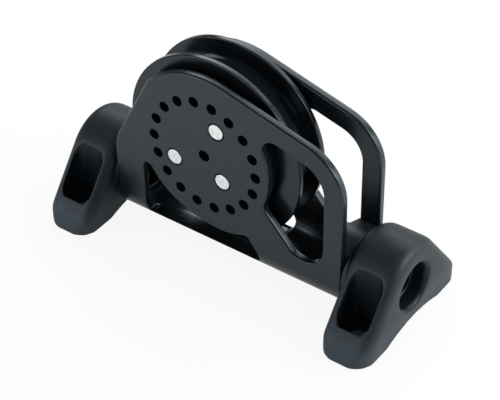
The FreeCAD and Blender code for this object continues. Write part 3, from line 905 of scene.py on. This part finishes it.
@dataclass(frozen=True)
class TurnedFinish(Finish):
    """A surface cut on a lathe: fine rings about the axis of the sheave."""

    axis_along: float = Datum.sheave_along
    axis_up: float = Datum.sheave_up

    def grain(self, tree: bpy.types.NodeTree, place: bpy.types.NodeSocket) -> bpy.types.NodeSocket:
        """Builds the height of the rings: a noise over the distance from the axis and along it.

        Args:
            tree: The material's nodes.
            place: The object coordinates.

        Returns:
            The output that feeds the bump.
        """
        centred = add_node(
            tree, "ShaderNodeMapping",
            {"Location": (-self.axis_along * MM, 0.0, -self.axis_up * MM)}, {"Vector": place})
        flat = add_node(
            tree, "ShaderNodeVectorMath", {"operation": "MULTIPLY", 1: (1.0, 0.0, 1.0)},
            {0: centred.outputs["Vector"]})
        radius = add_node(
            tree, "ShaderNodeVectorMath", {"operation": "LENGTH"}, {0: flat.outputs["Vector"]})
        parts = add_node(tree, "ShaderNodeSeparateXYZ", links={"Vector": centred.outputs["Vector"]})
        section = add_node(
            tree, "ShaderNodeCombineXYZ", links={"X": radius.outputs["Value"], "Y": parts.outputs["Y"]})
        noise = add_node(
            tree, "ShaderNodeTexNoise",
            {"Scale": 1 / (self.grain_pitch * MM), "Detail": 2.0, "Roughness": 0.6},
            {"Vector": section.outputs["Vector"]})
        return noise.outputs["Fac"]


# Hard-anodised plate, tumbled before it was anodised: black with a fine satin that mirrors the
# white table as a cool charcoal, so that the near side reads grey and its edges draw thin lines
PLATE = Finish(Slot.PLATE, "hard_anodised_plate", "#0D1215", roughness=0.27, specular=0.55,
               specular_tint=COOL, grain_pitch=0.35, grain_depth=0.005, cloud=0.05)

# Glass-filled nylon from a spark-eroded mould: matt black with a fine pebble and soft edges,
# painted dark grey at the toes, a painted sheen for the light that they catch
FOOT = PaintedSheenFinish(Slot.FOOT, "moulded_nylon", "#14191D", roughness=0.52, specular_tint=COOL,
                    grain_pitch=0.45, grain_depth=0.02)

# The same nylon, smoother and painted darker in the bore and the pockets: painted shade for these deep
# recesses
SHADED_RECESS = Finish(Slot.FOOT, "recess_shaded_nylon", "#10161A", roughness=0.4, specular=0.25, specular_tint=COOL,
               grain_pitch=0.4, grain_depth=0.004)

# Turned and polished hard-anodised sheave: gloss black with fine lathe rings
SHEAVE = TurnedFinish(Slot.SHEAVE, "turned_black_anodised", "#090C0F", roughness=0.22,
                      specular_tint=COOL, grain_pitch=0.25, grain_depth=0.002, cloud=0.03)

# Linished stainless rivet heads: near white against the black plate
RIVET = MottledFinish(Slot.RIVET, "linished_stainless", "#F4F7F8", roughness=0.45, metallic=1.0,
                      grain_pitch=0.2, grain_depth=0.004, cloud=0.05)

# Acetal bearing plastic: black, smooth, a little waxy
TUBE = Finish(Slot.TUBE, "turned_acetal_tube", "#040506", roughness=0.4, specular=0.3,
              specular_tint=COOL, grain_pitch=0.3, grain_depth=0.004)
BUSH = Finish(Slot.BUSH, "moulded_bush", "#0E1215", roughness=0.45, specular_tint=COOL,
              grain_pitch=0.4)
WASHER = TurnedFinish(Slot.WASHER, "acetal_washer", "#07090A", roughness=0.4, grain_pitch=0.3,
                      grain_depth=0.003)
CAGE = Finish(Slot.CAGE, "acetal_cage", "#07090A", roughness=0.42, grain_pitch=0.3, grain_depth=0.003)

# Anodised hub and ground rollers, glimpsed through the ring of holes
HUB = TurnedFinish(Slot.HUB, "anodised_hub", "#1C2327", roughness=0.35, grain_pitch=0.25,
                   grain_depth=0.003)
ROLLER = Finish(Slot.ROLLER, "ground_steel", "#B9BABC", roughness=0.25, metallic=1.0,
                grain_pitch=0.15, grain_depth=0.001)


class Paintbox:
    """Makes each finish once and puts it on pieces."""

    def __init__(self) -> None:
        """Starts with no finish made."""
        self._made: dict[str, bpy.types.Material] = {}

    def _material(self, finish: Finish) -> bpy.types.Material:
        """Finds a finish's material, which is made on first use.

        Args:
            finish: The finish.

        Returns:
            Its material.
        """
        if finish.title not in self._made:
            self._made[finish.title] = finish.make()
        return self._made[finish.title]

    def paint(self, obj: bpy.types.Object, finish: Finish) -> None:
        """Gives a piece one finish all over.

        Args:
            obj: The piece.
            finish: Its finish.
        """
        obj.data.materials.clear()
        obj.data.materials.append(self._material(finish))

    def paint_faces(self, obj: bpy.types.Object, finish: Finish,
                    test: Callable[[bpy.types.MeshPolygon], bool]) -> None:
        """Gives the faces that a test picks a second finish.

        Args:
            obj: The piece.
            finish: The second finish.
            test: Says which faces get it.
        """
        obj.data.materials.append(self._material(finish))
        second = len(obj.data.materials) - 1
        for face in obj.data.polygons:
            if test(face):
                face.material_index = second


# Pieces of the block

# A built mesh, its finish, the CAD body that carries it and the CAD nodes that it stands for
Built = tuple[bpy.types.Object, Finish, str, tuple[str, ...]]


@dataclass
class Piece:
    """A sub-assembly: it builds its meshes and dresses them."""

    datum: Datum

    def build(self) -> list[Built]:
        """Builds the meshes and returns them."""
        raise NotImplementedError

    def detail(self, obj: bpy.types.Object, paintbox: Paintbox) -> None:
        """Adds what one finish all over doesn't give; most pieces need nothing."""

    def dress(self, paintbox: Paintbox) -> None:
        """Builds the meshes, paints them and hands them to the frame.

        Args:
            paintbox: The finishes.
        """
        for obj, finish, body, nodes in self.build():
            paintbox.paint(obj, finish)
            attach(obj, body)
            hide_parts(*nodes)
            self.detail(obj, paintbox)
            log.info("%s: %d faces on %s", obj.name, len(obj.data.polygons), body)


@dataclass
class EndPiece(Piece):
    """A piece that the block has at both ends, each the mirror of the other."""

    end: End

    @property
    def sign(self) -> int:
        """Returns the direction of this end along the swing axis."""
        return self.end.value


@dataclass
class SideFrame(Piece):
    """One plate folded round the swing axis, with its openings, holes and countersinks.

    Both sides have one outline. It and the openings are measured from the sheave's axis, except
    for the sloping end and the sill of the notch, which are measured from the swing axis.
    """

    wall: float = 3.5
    fold_radius: float = 11.4

    # Outline
    crown: float = 34.2
    flank_offset: float = 33.0
    flank_lean: float = 27.3
    ridge_slope: float = 14.6
    nose_radius: float = 20.0
    heel_radius: float = 20.0
    brow_radius: float = 3.0

    # Window between the bearing cheek and the right end
    cheek: float = 28.6
    window_border: float = 8.3
    window_sill_normal: float = 41.5
    window_sill_offset: float = 10.9
    window_heel_radius: float = 4.0
    window_foot_radius: float = 8.2
    window_brow_radius: float = 5.0

    # Notch, the lower opening that runs round the fold
    notch_rim: float = 30.5
    notch_dip_normal: float = 255.0
    notch_roof_normal: float = 287.0
    notch_roof_offset: float = 33.7
    notch_roof_radius: float = 24.0
    notch_end_normal: float = 36.4
    notch_end: float = 16.2
    notch_toe_radius: float = 4.2
    notch_sill: float = 10.3
    notch_left: float = 29.2
    notch_round: float = 2.0

    # Holes of the bearing cheek and the rivets
    ring_radius: float = 22.9
    ring_count: int = 18
    ring_hole: float = 2.2
    centre_hole: float = 2.4
    shank: float = 2.44
    head: float = 3.85
    head_depth: float = 1.6

    # Edges: the plate's are rounded, and its holes' rims only broken
    edge_round: float = 0.9
    hole_break: float = 0.25
    sliver: float = 0.12

    # Reach of the blank and of the cutting tools, which all run past the plate
    blank_top: float = 80.0
    blank_half: float = 65.0
    outline_low: float = 55.0
    tool_half: float = 30.0
    overcut: float = 1.0

    def build(self) -> list[Built]:
        """Folds the blank, trims and cuts it, rounds its edges and drills the holes.

        Edges shorter than a sliver are welded away first, because a round wider than they are
        would fold over itself there.

        Returns:
            The plate.
        """
        plate = self._folded_blank()
        combine(plate, [self._outline()], Combine.TRIM)
        combine(plate, [self._window(), self._notch()], Combine.CUT)
        weld(plate, self.sliver)
        break_edges(plate, self.edge_round, steps=4, clamp=False)
        combine(plate, self._holes(), Combine.CUT)
        break_edges(plate, self.hole_break, steps=2, angle=60.0)
        smooth(plate)
        return [(plate, PLATE, "frame", ("side_frame",))]

    def _folded_blank(self) -> bpy.types.Object:
        """Draws the U section and runs it along the swing axis.

        Returns:
            The folded blank, longer and higher than the plate.
        """
        rim, top = self.datum.frame_half, self.blank_top
        inside, flat = rim - self.wall, rim - self.fold_radius
        path = Path((-rim, top)).run((-rim, -flat)).bend((-flat, -flat), (-flat, -rim))
        path.run((flat, -rim)).bend((flat, -flat), (rim, -flat)).run((rim, top)).run((inside, top))
        path.run((inside, -flat)).bend((flat, -flat), (flat, -inside)).run((-flat, -inside))
        path.bend((-flat, -flat), (-inside, -flat)).run((-inside, top)).run((-rim, top))
        return prism("folded_side_frame", Plane.SIDE, self.datum.pivot(self.datum.sheave_along), path,
                     -self.blank_half, self.blank_half, arc_step=3.0)

    def _outline(self) -> bpy.types.Object:
        """Draws the outline that both sides share.

        Returns:
            The tool that trims the blank.
        """
        edges = (
            Line(270, self.outline_low),
            Line(0, self.datum.right_reach),
            Line(90 - self.ridge_slope, self.crown),
            Ring(self.crown),
            Line(180 - self.flank_lean, self.flank_offset),
            Line(180, self.datum.left_reach))
        turns = (
            Turn(), Turn(self.nose_radius), Turn(), Turn(self.brow_radius, hand=-1),
            Turn(self.heel_radius), Turn())
        return self._tool("outline", edges, turns)

    def _window(self) -> bpy.types.Object:
        """Draws the window that lies to the right of the bearing cheek.

        Returns:
            The tool that cuts it.
        """
        edges = (
            Ring(self.cheek, side=-1),
            Line(self.window_sill_normal, self.window_sill_offset, side=-1),
            Line(0, self.datum.right_reach - self.window_border),
            Line(90 - self.ridge_slope, self.crown - self.window_border))
        turns = (
            Turn(self.window_heel_radius, hand=-1), Turn(self.window_foot_radius),
            Turn(self.nose_radius - self.window_border), Turn(self.window_brow_radius, hand=-1))
        return self._tool("window", edges, turns)

    def _notch(self) -> bpy.types.Object:
        """Draws the lower opening: its roof follows the bearing cheek, its sill lies under the fold.

        Returns:
            The tool that cuts it.
        """
        to_pivot = self.datum.sheave_up - self.datum.pivot_up
        edges = (
            Ring(self.notch_rim, side=-1),
            Line(self.notch_dip_normal, self.notch_rim, side=-1),
            Line(self.notch_roof_normal, self.notch_roof_offset, side=-1),
            Line(self.notch_end_normal, self.notch_end, drop=to_pivot),
            Line(270, to_pivot + self.notch_sill),
            Line(180, self.notch_left))
        turns = (
            Turn(), Turn(self.notch_roof_radius, hollow=True), Turn(self.notch_round),
            Turn(self.notch_toe_radius), Turn(self.notch_round), Turn(self.notch_round))
        return self._tool("notch", edges, turns)

    def _tool(self, name: str, edges: Sequence[Edge], turns: Sequence[Turn]) -> bpy.types.Object:
        """Raises an outline about the sheave's axis to a tool that reaches past both sides."""
        path = Path.bounded(edges, turns)
        return prism(name, Plane.FRONT, self.datum.sheave, path, -self.tool_half, self.tool_half)

    def _holes(self) -> list[bpy.types.Object]:
        """Makes the tools for the ring, the centre and the rivets.

        Returns:
            The drills, and last the rivets' countersinks.
        """
        drills = []
        for number in range(self.ring_count):
            angle = math.radians(number * 360 / self.ring_count)
            place = (self.ring_radius * math.cos(angle), self.ring_radius * math.sin(angle))
            drills.append(self._drill(place, self.ring_hole))
        drills.append(self._drill((0.0, 0.0), self.centre_hole))
        drills += [self._drill(place, self.shank) for _, place in self.datum.rivets]
        drills += [self._countersink(place, face) for _, place in self.datum.rivets for face in (-1, 1)]
        return drills

    def _drill(self, place: Point, radius: float) -> bpy.types.Object:
        """Makes a drill that runs through both sides of the frame.

        Args:
            place: Where it enters, about the sheave's axis.
            radius: Its radius.

        Returns:
            The drill.
        """
        reach = Vector((0, self.tool_half * MM, 0))
        middle = Plane.FRONT.at(place, self.datum.sheave)
        return rod(radius, middle - reach, middle + reach, sides=24)

    def _countersink(self, place: Point, face: int) -> bpy.types.Object:
        """Makes the cone that sinks a rivet head into one outer face.

        Args:
            place: The rivet's place about the sheave's axis.
            face: The near side (-1) or the far side (1).

        Returns:
            The cone.
        """
        middle = Plane.FRONT.at(place, self.datum.sheave)
        slope = (self.head - self.shank) / self.head_depth
        start = middle + Vector((0, face * (self.datum.frame_half + self.overcut) * MM, 0))
        end = middle + Vector((0, face * (self.datum.frame_half - self.head_depth) * MM, 0))
        return rod(self.head + slope * self.overcut, start, end, sides=32, end_radius=self.shank)


@dataclass
class Sheave(Piece):
    """The grooved wheel, turned from bar, with flat sides."""

    radius: float = 38.1
    half_width: float = 8.25
    bore: float = 24.95
    bore_round: float = 0.25
    groove_root: float = 28.5
    groove_radius: float = 5.6
    rim_land: float = 2.3
    rim_round: float = 0.5

    def build(self) -> list[Built]:
        """Turns the wheel from its half section.

        Returns:
            The wheel.
        """
        wheel = lathe("grooved_sheave", Plane.SIDE, self.datum.sheave, self._section(), steps=144)
        smooth(wheel)
        return [(wheel, SHEAVE, "sheave", ("sheave",))]

    def _section(self) -> Path:
        """Draws the half section: across it is along the axis, and up is the radius.

        Returns:
            The section, with its groove's bottom in two quarter turns.
        """
        mouth = self.half_width - self.rim_land
        rise = self.groove_root + self.groove_radius
        left, right = (
            [(side * self.half_width, self.bore, self.bore_round),
             (side * self.half_width, self.radius, self.rim_round),
             (side * mouth, self.radius, self.rim_round),
             (side * self.groove_radius, rise, 0.0)] for side in (-1, 1))
        path = Path.polygon(left + right[::-1])
        middle = (0.0, rise)
        path.swap_run((self.groove_radius, rise), [
            Step((0.0, self.groove_root), middle), Step((self.groove_radius, rise), middle)])
        return path


@dataclass
class Foot(EndPiece):
    """A moulded saddle with a screw pocket on each side."""

    depth: float = 20.5

    # Outline seen along the swing axis
    toe_half: float = 33.7
    toe_lean: float = 20.0
    toe_rise: float = 7.0
    toe_round: float = 10.0
    crown: float = 18.3
    arch_half: float = 17.0
    arch_rise: float = 2.9

    # Rounds of the corners seen from above, and of the edges of the two ends
    inner_plan_round: float = 8.0
    outer_plan_round: float = 8.5
    end_round: float = 4.4
    grid: float = 0.45
    passes: int = 14

    # Bore, screw pockets and screw holes
    bore: float = 9.04
    bore_bevel: float = 1.4
    pocket_half: float = 6.7
    pocket_inner: float = 14.0
    pocket_outer: float = 27.3
    pocket_floor: float = 4.5
    pocket_round: float = 3.5
    screw: float = 3.2
    screw_reach: float = 15.0

    # Reach of the cutting tools past the moulding, and the height that clears its crown
    overcut: float = 5.0
    mouth_overcut: float = 2.0
    clear_up: float = 60.0

    def build(self) -> list[Built]:
        """Raises the saddle, rounds its ends and cuts the arch, the bore, the pockets and the holes.

        Returns:
            The foot.
        """
        name = self.end.name_of("foot")
        saddle = prism(f"moulded_{name}", Plane.SIDE, self.datum.pivot(), self._profile(), self._low,
                       self._high, arc_step=4.0)
        round_edges(saddle, self.end_round, steps=6, test=self._is_top_edge)
        combine(saddle, [self._plan()], Combine.TRIM)
        tools = [self._arch(), self._bore(), self._bore_mouth()]
        for side in (-1, 1):
            tools += [self._pocket(side), self._screw_hole(side)]
        combine(saddle, tools, Combine.CUT)
        mould(saddle, self.grid, self.passes)
        return [(saddle, FOOT, "base", (name,))]

    def detail(self, obj: bpy.types.Object, paintbox: Paintbox) -> None:
        """Paints the bore and the pockets darker: painted shade in these recesses."""
        # Painted shade: the bore and pocket faces get the darker nylon
        paintbox.paint_faces(obj, SHADED_RECESS, self._is_shaded_recess)

    def _is_shaded_recess(self, face: bpy.types.MeshPolygon) -> bool:
        """Tells whether a face lies in the bore or a pocket, where shade is painted.

        Args:
            face: A face of the finished foot.

        Returns:
            True inside the bore or a pocket.
        """
        slack = 0.1
        x, y, z = (v / MM for v in face.center)
        half = (self.pocket_outer - self.pocket_inner) / 2
        beside = max(abs(x - self._middle) - self.pocket_half + self.pocket_round, 0.0)
        beyond = max(abs(abs(y) - self._pocket_across) - half + self.pocket_round, 0.0)
        in_pocket = math.hypot(beside, beyond) < self.pocket_round + slack
        in_bore = math.hypot(y, z - self.datum.pivot_up) < self.bore + self.bore_bevel + slack
        return in_pocket or in_bore

    @property
    def _low(self) -> float:
        """Returns the lower of the foot's two ends along the swing axis."""
        return self.datum.foot_face if self.end is End.RIGHT else -self.datum.foot_face - self.depth

    @property
    def _high(self) -> float:
        """Returns the higher of the two ends."""
        return self._low + self.depth

    @property
    def _middle(self) -> float:
        """Returns the middle of the foot along the swing axis."""
        return (self._low + self._high) / 2

    @property
    def _pocket_across(self) -> float:
        """Returns how far the middle of a pocket lies from the swing axis."""
        return (self.pocket_inner + self.pocket_outer) / 2

    def _profile(self) -> Path:
        """Draws the outline seen along the swing axis, about that axis.

        Each side has a leaning toe wall, whose top end lies on the flank that touches the crown.

        Returns:
            The outline.
        """
        up = self.datum.pivot_up
        slope = math.radians(self.toe_lean)
        wall = self.toe_half * math.cos(slope) - up * math.sin(slope)
        reach, drop = self.toe_half - self.toe_rise * math.tan(slope), up - self.toe_rise
        lean = math.degrees(math.acos(self.crown / math.hypot(reach, drop)) - math.atan(drop / reach))
        edges = (
            Line(270, up),
            Line(self.toe_lean, wall),
            Line(lean, self.crown),
            Ring(self.crown),
            Line(180 - lean, self.crown),
            Line(180 - self.toe_lean, wall))
        toe = Turn(self.toe_round)
        return Path.bounded(edges, (Turn(), toe, Turn(), Turn(), toe, Turn()))

    def _plan(self) -> bpy.types.Object:
        """Makes the tool that rounds the corners seen from above.

        Returns:
            The tool.
        """
        low, high, half = self._low, self._high, self.toe_half
        first, last = (self.inner_plan_round, self.outer_plan_round)[::self.sign]
        path = Path.polygon([
            (low, -half, first), (high, -half, last), (high, half, last), (low, half, first)])
        return prism("plan", Plane.TOP, ORIGIN, path, -self.overcut, self.clear_up, arc_step=6.0)

    @staticmethod
    def _is_top_edge(edge: bmesh.types.BMEdge) -> bool:
        """Tells whether an edge lies between an upright end and the crown, a flank or a toe wall.

        Args:
            edge: An edge with two faces.

        Returns:
            True where it does.
        """
        first, second = (face.normal.z for face in edge.link_faces)
        level, rising = 0.01, 0.3
        return (abs(first) < level and second > rising) or (abs(second) < level and first > rising)

    def _arch(self) -> bpy.types.Object:
        """Makes the tool for the shallow arch of the underside.

        Returns:
            A wide rod whose top is the arch.
        """
        radius = (self.arch_half ** 2 + self.arch_rise ** 2) / (2 * self.arch_rise)
        start = Vector(((self._low - self.overcut) * MM, 0, (self.arch_rise - radius) * MM))
        run = Vector(((self.depth + 2 * self.overcut) * MM, 0, 0))
        return rod(radius, start, start + run, sides=180)

    def _bore(self) -> bpy.types.Object:
        """Makes the drill of the bore on the swing axis."""
        start = self.datum.pivot(self._low - self.overcut)
        return rod(self.bore, start, self.datum.pivot(self._high + self.overcut), sides=64)

    def _bore_mouth(self) -> bpy.types.Object:
        """Makes the cone that opens the outer mouth of the bore.

        Returns:
            The cone, which widens outwards.
        """
        face = self._high if self.end is End.RIGHT else self._low
        inner = self.datum.pivot(face - self.sign * self.bore_bevel)
        outer = self.datum.pivot(face + self.sign * self.mouth_overcut)
        return rod(self.bore, inner, outer, sides=64,
                   end_radius=self.bore + self.bore_bevel + self.mouth_overcut)

    def _pocket(self, side: int) -> bpy.types.Object:
        """Makes the tool of one screw pocket, open at the top.

        Args:
            side: The near side (-1) or the far side (1).

        Returns:
            The tool.
        """
        low, high = sorted((side * self.pocket_inner, side * self.pocket_outer))
        left, right = self._middle - self.pocket_half, self._middle + self.pocket_half
        corner = self.pocket_round
        path = Path.polygon([
            (left, low, corner), (right, low, corner), (right, high, corner), (left, high, corner)])
        return prism("pocket", Plane.TOP, ORIGIN, path, self.pocket_floor, self.clear_up, arc_step=9.0)

    def _screw_hole(self, side: int) -> bpy.types.Object:
        """Makes the drill of one deck screw.

        Args:
            side: The near side (-1) or the far side (1).

        Returns:
            The drill.
        """
        place = Vector((self._middle, side * self._pocket_across, 0)) * MM
        below, above = Vector((0, 0, self.overcut * MM)), Vector((0, 0, self.screw_reach * MM))
        return rod(self.screw, place - below, place + above, sides=32)


@dataclass
class LeadTube(EndPiece):
    """The hollow pin in a foot: the line runs in through it and the frame swings on it."""

    reach: float = 8.4
    seat: float = 14.8
    radius: float = 9.0
    bore: float = 7.2
    lip: float = 0.8
    edge_break: float = 0.2

    def build(self) -> list[Built]:
        """Turns the tube with its rounded lips.

        Returns:
            The tube.
        """
        name = self.end.name_of("lead_tube")
        face = self.datum.foot_face
        low, high = sorted((self.sign * (face - self.reach), self.sign * (face + self.seat)))
        section = Path.polygon([
            (low, self.bore, self.lip), (low, self.radius, self.edge_break),
            (high, self.radius, self.edge_break), (high, self.bore, self.lip)])
        tube = lathe(f"turned_{name}", Plane.FRONT, self.datum.pivot(), section, steps=96)
        smooth(tube)
        return [(tube, TUBE, "base", (name,))]


@dataclass
class EndBush(EndPiece):
    """The flanged bush in one end of the frame; its plug fills the frame above the fold."""

    length: float = 8.0
    flange: float = 1.4
    plug_half: float = 10.56
    plug_corner: float = 7.86
    crown: float = 13.4
    crown_slope: float = 20.0
    crown_radius: float = 10.8
    shoulder_radius: float = 0.8
    bore: float = 9.06
    edge_break: float = 0.35
    overlap: float = 0.2
    overcut: float = 5.0

    def build(self) -> list[Built]:
        """Raises the plug, joins the flange to it and bores both.

        Returns:
            The bush.
        """
        name = self.end.name_of("end_bush")
        face = self.sign * self.datum.frame_end(self.end)
        inner, outer = face - self.sign * self.length, face + self.sign * self.flange
        low, high = sorted((inner, face + self.sign * self.overlap))
        bush = prism(f"moulded_{name}", Plane.SIDE, self.datum.pivot(), self._plug(), low, high)
        flange = rod(self.datum.frame_half, self.datum.pivot(face), self.datum.pivot(outer), sides=96)
        combine(bush, [flange], Combine.JOIN)
        start = self.datum.pivot(inner - self.sign * self.overcut)
        drill = rod(self.bore, start, self.datum.pivot(outer + self.sign * self.overcut), sides=96)
        combine(bush, [drill], Combine.CUT)
        break_edges(bush, self.edge_break, steps=2)
        smooth(bush)
        return [(bush, BUSH, "frame", (name,))]

    def _plug(self) -> Path:
        """Draws the plug: round corners in the fold and a roof of two slopes.

        Returns:
            Its outline about the swing axis.
        """
        edges = (
            Line(0, self.plug_half),
            Line(90 - self.crown_slope, self.crown),
            Line(90 + self.crown_slope, self.crown),
            Line(180, self.plug_half),
            Line(270, self.plug_half))
        shoulder, corner = Turn(self.shoulder_radius), Turn(self.plug_corner)
        return Path.bounded(edges, (shoulder, Turn(self.crown_radius), shoulder, corner, corner))


@dataclass
class HubRivets(Piece):
    """Three rivets through the frame and the hub, with flush countersunk heads."""

    head: float = 3.35
    head_depth: float = 1.6
    shank: float = 2.4
    rim_round: float = 0.3
    neck_round: float = 0.2

    def build(self) -> list[Built]:
        """Turns one rivet for each place, from a section that is open along the axis.

        Returns:
            The rivets.
        """
        made = []
        end = self.datum.frame_half
        neck = end - self.head_depth
        for name, place in self.datum.rivets:
            section = Path.polygon([
                (-end, 0.0, 0.0), (-end, self.head, self.rim_round),
                (-neck, self.shank, self.neck_round), (neck, self.shank, self.neck_round),
                (end, self.head, self.rim_round), (end, 0.0, 0.0)]).opened()
            middle = Plane.FRONT.at(place, self.datum.sheave)
            rivet = lathe(f"flush_rivet_{name}", Plane.SIDE, middle, section, steps=48)
            smooth(rivet)
            made.append((rivet, RIVET, "frame", (f"hub_rivet_{name}",)))
        return made


def dress_cad_nodes(frame: dict[str, Any], paintbox: Paintbox) -> None:
    """Paints every CAD node; those inside the bearing keep their CAD mesh and show through the holes.

    Args:
        frame: The loaded frame.
        paintbox: The finishes.
    """
    finishes = {finish.slot.value: finish for finish in (
        PLATE, FOOT, SHEAVE, RIVET, TUBE, BUSH, WASHER, CAGE, HUB, ROLLER)}
    for part in frame["record"]["subparts"]:
        paintbox.paint(frame["nodes"][part["node"]], finishes[part["material_slot"]])


# Studio

@dataclass(frozen=True)
class Softbox:
    """A soft lamp: its place, width and height in metres, and its power in watts."""

    name: str
    place: tuple[float, float, float]
    size: tuple[float, float]
    power: float


@dataclass
class Studio:
    """Plain pale floor, soft light and the camera at the photograph's place.

    The camera's numbers come from a fit to the ring holes and the outlines: its turns are in
    degrees, and its distance and shifts in millimetres from the middle of the sheave. The clip
    and all the rest are in metres.
    """

    datum: Datum

    azimuth: float = 36.168
    elevation: float = 39.597
    roll: float = -0.747
    distance: float = 649.087
    shift_across: float = 8.484
    shift_up: float = -23.347
    focal_pixels: float = 1765.10
    image_width: int = 500
    sensor_width: float = 36.0
    clip: tuple[float, float] = (0.05, 20.0)

    softboxes: tuple[Softbox, ...] = (
        Softbox("back", (-0.12, 0.71, 0.6), (1.3, 0.42), 6.5),
        Softbox("right", (0.72, 0.6, 0.2), (0.4, 0.35), 1.1),
        Softbox("key", (0.85, 0.3, 0.5), (0.5, 0.5), 6.6),
        Softbox("front", (-0.45, -0.79, 0.28), (0.9, 0.28), 3.1))
    aim_up: float = 0.03

    # How white floor and room are to the camera and in mirrors, and the strength of the room's light
    floor_size: float = 6.0
    floor_seen: float = 0.9
    floor_mirrored: float = 0.35
    room_seen: float = 1.0
    room_mirrored: float = 0.17
    room_light: float = 0.4

    def build(self) -> None:
        """Builds the floor, the world, the lamps and the camera."""
        self._floor()
        self._world()
        for softbox in self.softboxes:
            self._hang(softbox)
        self._camera()

    def _floor(self) -> None:
        """Lays the pale floor that keeps the block's shadow."""
        deselect()
        bpy.ops.mesh.primitive_plane_add(size=self.floor_size, location=(0, 0, 0))
        floor = bpy.context.active_object
        floor.name = "studio_floor"
        floor.data.materials.append(self._paper())

    def _paper(self) -> bpy.types.Material:
        """Makes white paper: it takes shadows, and a glow keeps it white to the camera.

        Returns:
            The material.
        """
        material = bpy.data.materials.new("white_paper")
        material.use_nodes = True
        tree = material.node_tree
        tree.nodes.clear()
        paper = add_node(tree, "ShaderNodeBsdfDiffuse", {"Color": srgb("#F4F4F4")})
        glow = add_node(tree, "ShaderNodeEmission", {"Color": srgb("#FFFFFF"), "Strength": 1.0})
        rays = add_node(tree, "ShaderNodeLightPath")
        seen = add_node(tree, "ShaderNodeMath", {"operation": "MULTIPLY", 1: self.floor_seen},
                        {0: rays.outputs["Is Camera Ray"]})
        mirrored = add_node(tree, "ShaderNodeMath", {"operation": "MULTIPLY", 1: self.floor_mirrored},
                            {0: rays.outputs["Is Glossy Ray"]})
        share = add_node(tree, "ShaderNodeMath", {"operation": "MAXIMUM"},
                         {0: seen.outputs["Value"], 1: mirrored.outputs["Value"]})
        both = add_node(tree, "ShaderNodeMixShader", links={
            0: share.outputs["Value"], 1: paper.outputs["BSDF"], 2: glow.outputs["Emission"]})
        add_node(tree, "ShaderNodeOutputMaterial", links={"Surface": both.outputs["Shader"]})
        return material

    def _world(self) -> None:
        """Surrounds the block with soft white light, which mirrors as a dark room."""
        world = bpy.data.worlds.new("studio_world")
        bpy.context.scene.world = world
        world.use_nodes = True
        tree = world.node_tree
        tree.nodes.clear()
        rays = add_node(tree, "ShaderNodeLightPath")
        room = add_node(
            tree, "ShaderNodeMapRange", {"To Min": self.room_light, "To Max": self.room_mirrored},
            {"Value": rays.outputs["Is Glossy Ray"]})
        strength = add_node(
            tree, "ShaderNodeMapRange", {"To Max": self.room_seen},
            {"Value": rays.outputs["Is Camera Ray"], "To Min": room.outputs["Result"]})
        sky = add_node(tree, "ShaderNodeBackground", {"Color": srgb("#FFFFFF")},
                       {"Strength": strength.outputs["Result"]})
        add_node(tree, "ShaderNodeOutputWorld", links={"Surface": sky.outputs["Background"]})

    def _hang(self, softbox: Softbox) -> None:
        """Hangs one softbox that faces the block.

        Args:
            softbox: Its place, size and power.
        """
        deselect()
        bpy.ops.object.light_add(type="AREA", location=softbox.place)
        lamp = bpy.context.active_object
        lamp.name = f"softbox_{softbox.name}"
        lamp.data.energy = softbox.power
        lamp.data.shape = "RECTANGLE"
        lamp.data.size, lamp.data.size_y = softbox.size
        aim = Vector((0.0, 0.0, self.aim_up)) - Vector(softbox.place)
        lamp.rotation_euler = aim.to_track_quat("-Z", "Y").to_euler()

    def _camera(self) -> None:
        """Sets the camera where the photograph was taken from."""
        az, el, roll = (math.radians(v) for v in (self.azimuth, self.elevation, self.roll))
        back = Vector((math.sin(az) * math.cos(el), -math.cos(az) * math.cos(el), math.sin(el)))
        level = Vector((math.cos(az), math.sin(az), 0.0))
        upright = back.cross(level)
        right = level * math.cos(roll) + upright * math.sin(roll)
        up = upright * math.cos(roll) - level * math.sin(roll)
        place = self.datum.sheave + MM * (
            back * self.distance + right * self.shift_across + up * self.shift_up)
        camera = bpy.data.cameras.new("studio_camera")
        camera.sensor_fit = "HORIZONTAL"
        camera.sensor_width = self.sensor_width
        camera.lens = self.focal_pixels / self.image_width * camera.sensor_width
        camera.clip_start, camera.clip_end = self.clip
        holder = bpy.data.objects.new("studio_camera", camera)
        turn = Matrix((right, up, back)).transposed()
        holder.matrix_world = Matrix.Translation(place) @ turn.to_4x4()
        bpy.context.scene.collection.objects.link(holder)
        bpy.context.scene.camera = holder
        bpy.context.scene.view_settings.view_transform = "Standard"


def main() -> None:
    """Builds and dresses the block, then sets up the studio and the camera."""
    logging.basicConfig(level=logging.INFO, format="%(message)s")
    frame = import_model()
    datum = Datum()
    paintbox = Paintbox()
    dress_cad_nodes(frame, paintbox)
    pieces: list[Piece] = [SideFrame(datum), Sheave(datum), HubRivets(datum)]
    for end in End:
        pieces += [Foot(datum, end), LeadTube(datum, end)]
    pieces += [EndBush(datum, end) for end in End]
    for piece in pieces:
        piece.dress(paintbox)
    Studio(datum).build()


if __name__ == "__main__":
    main()
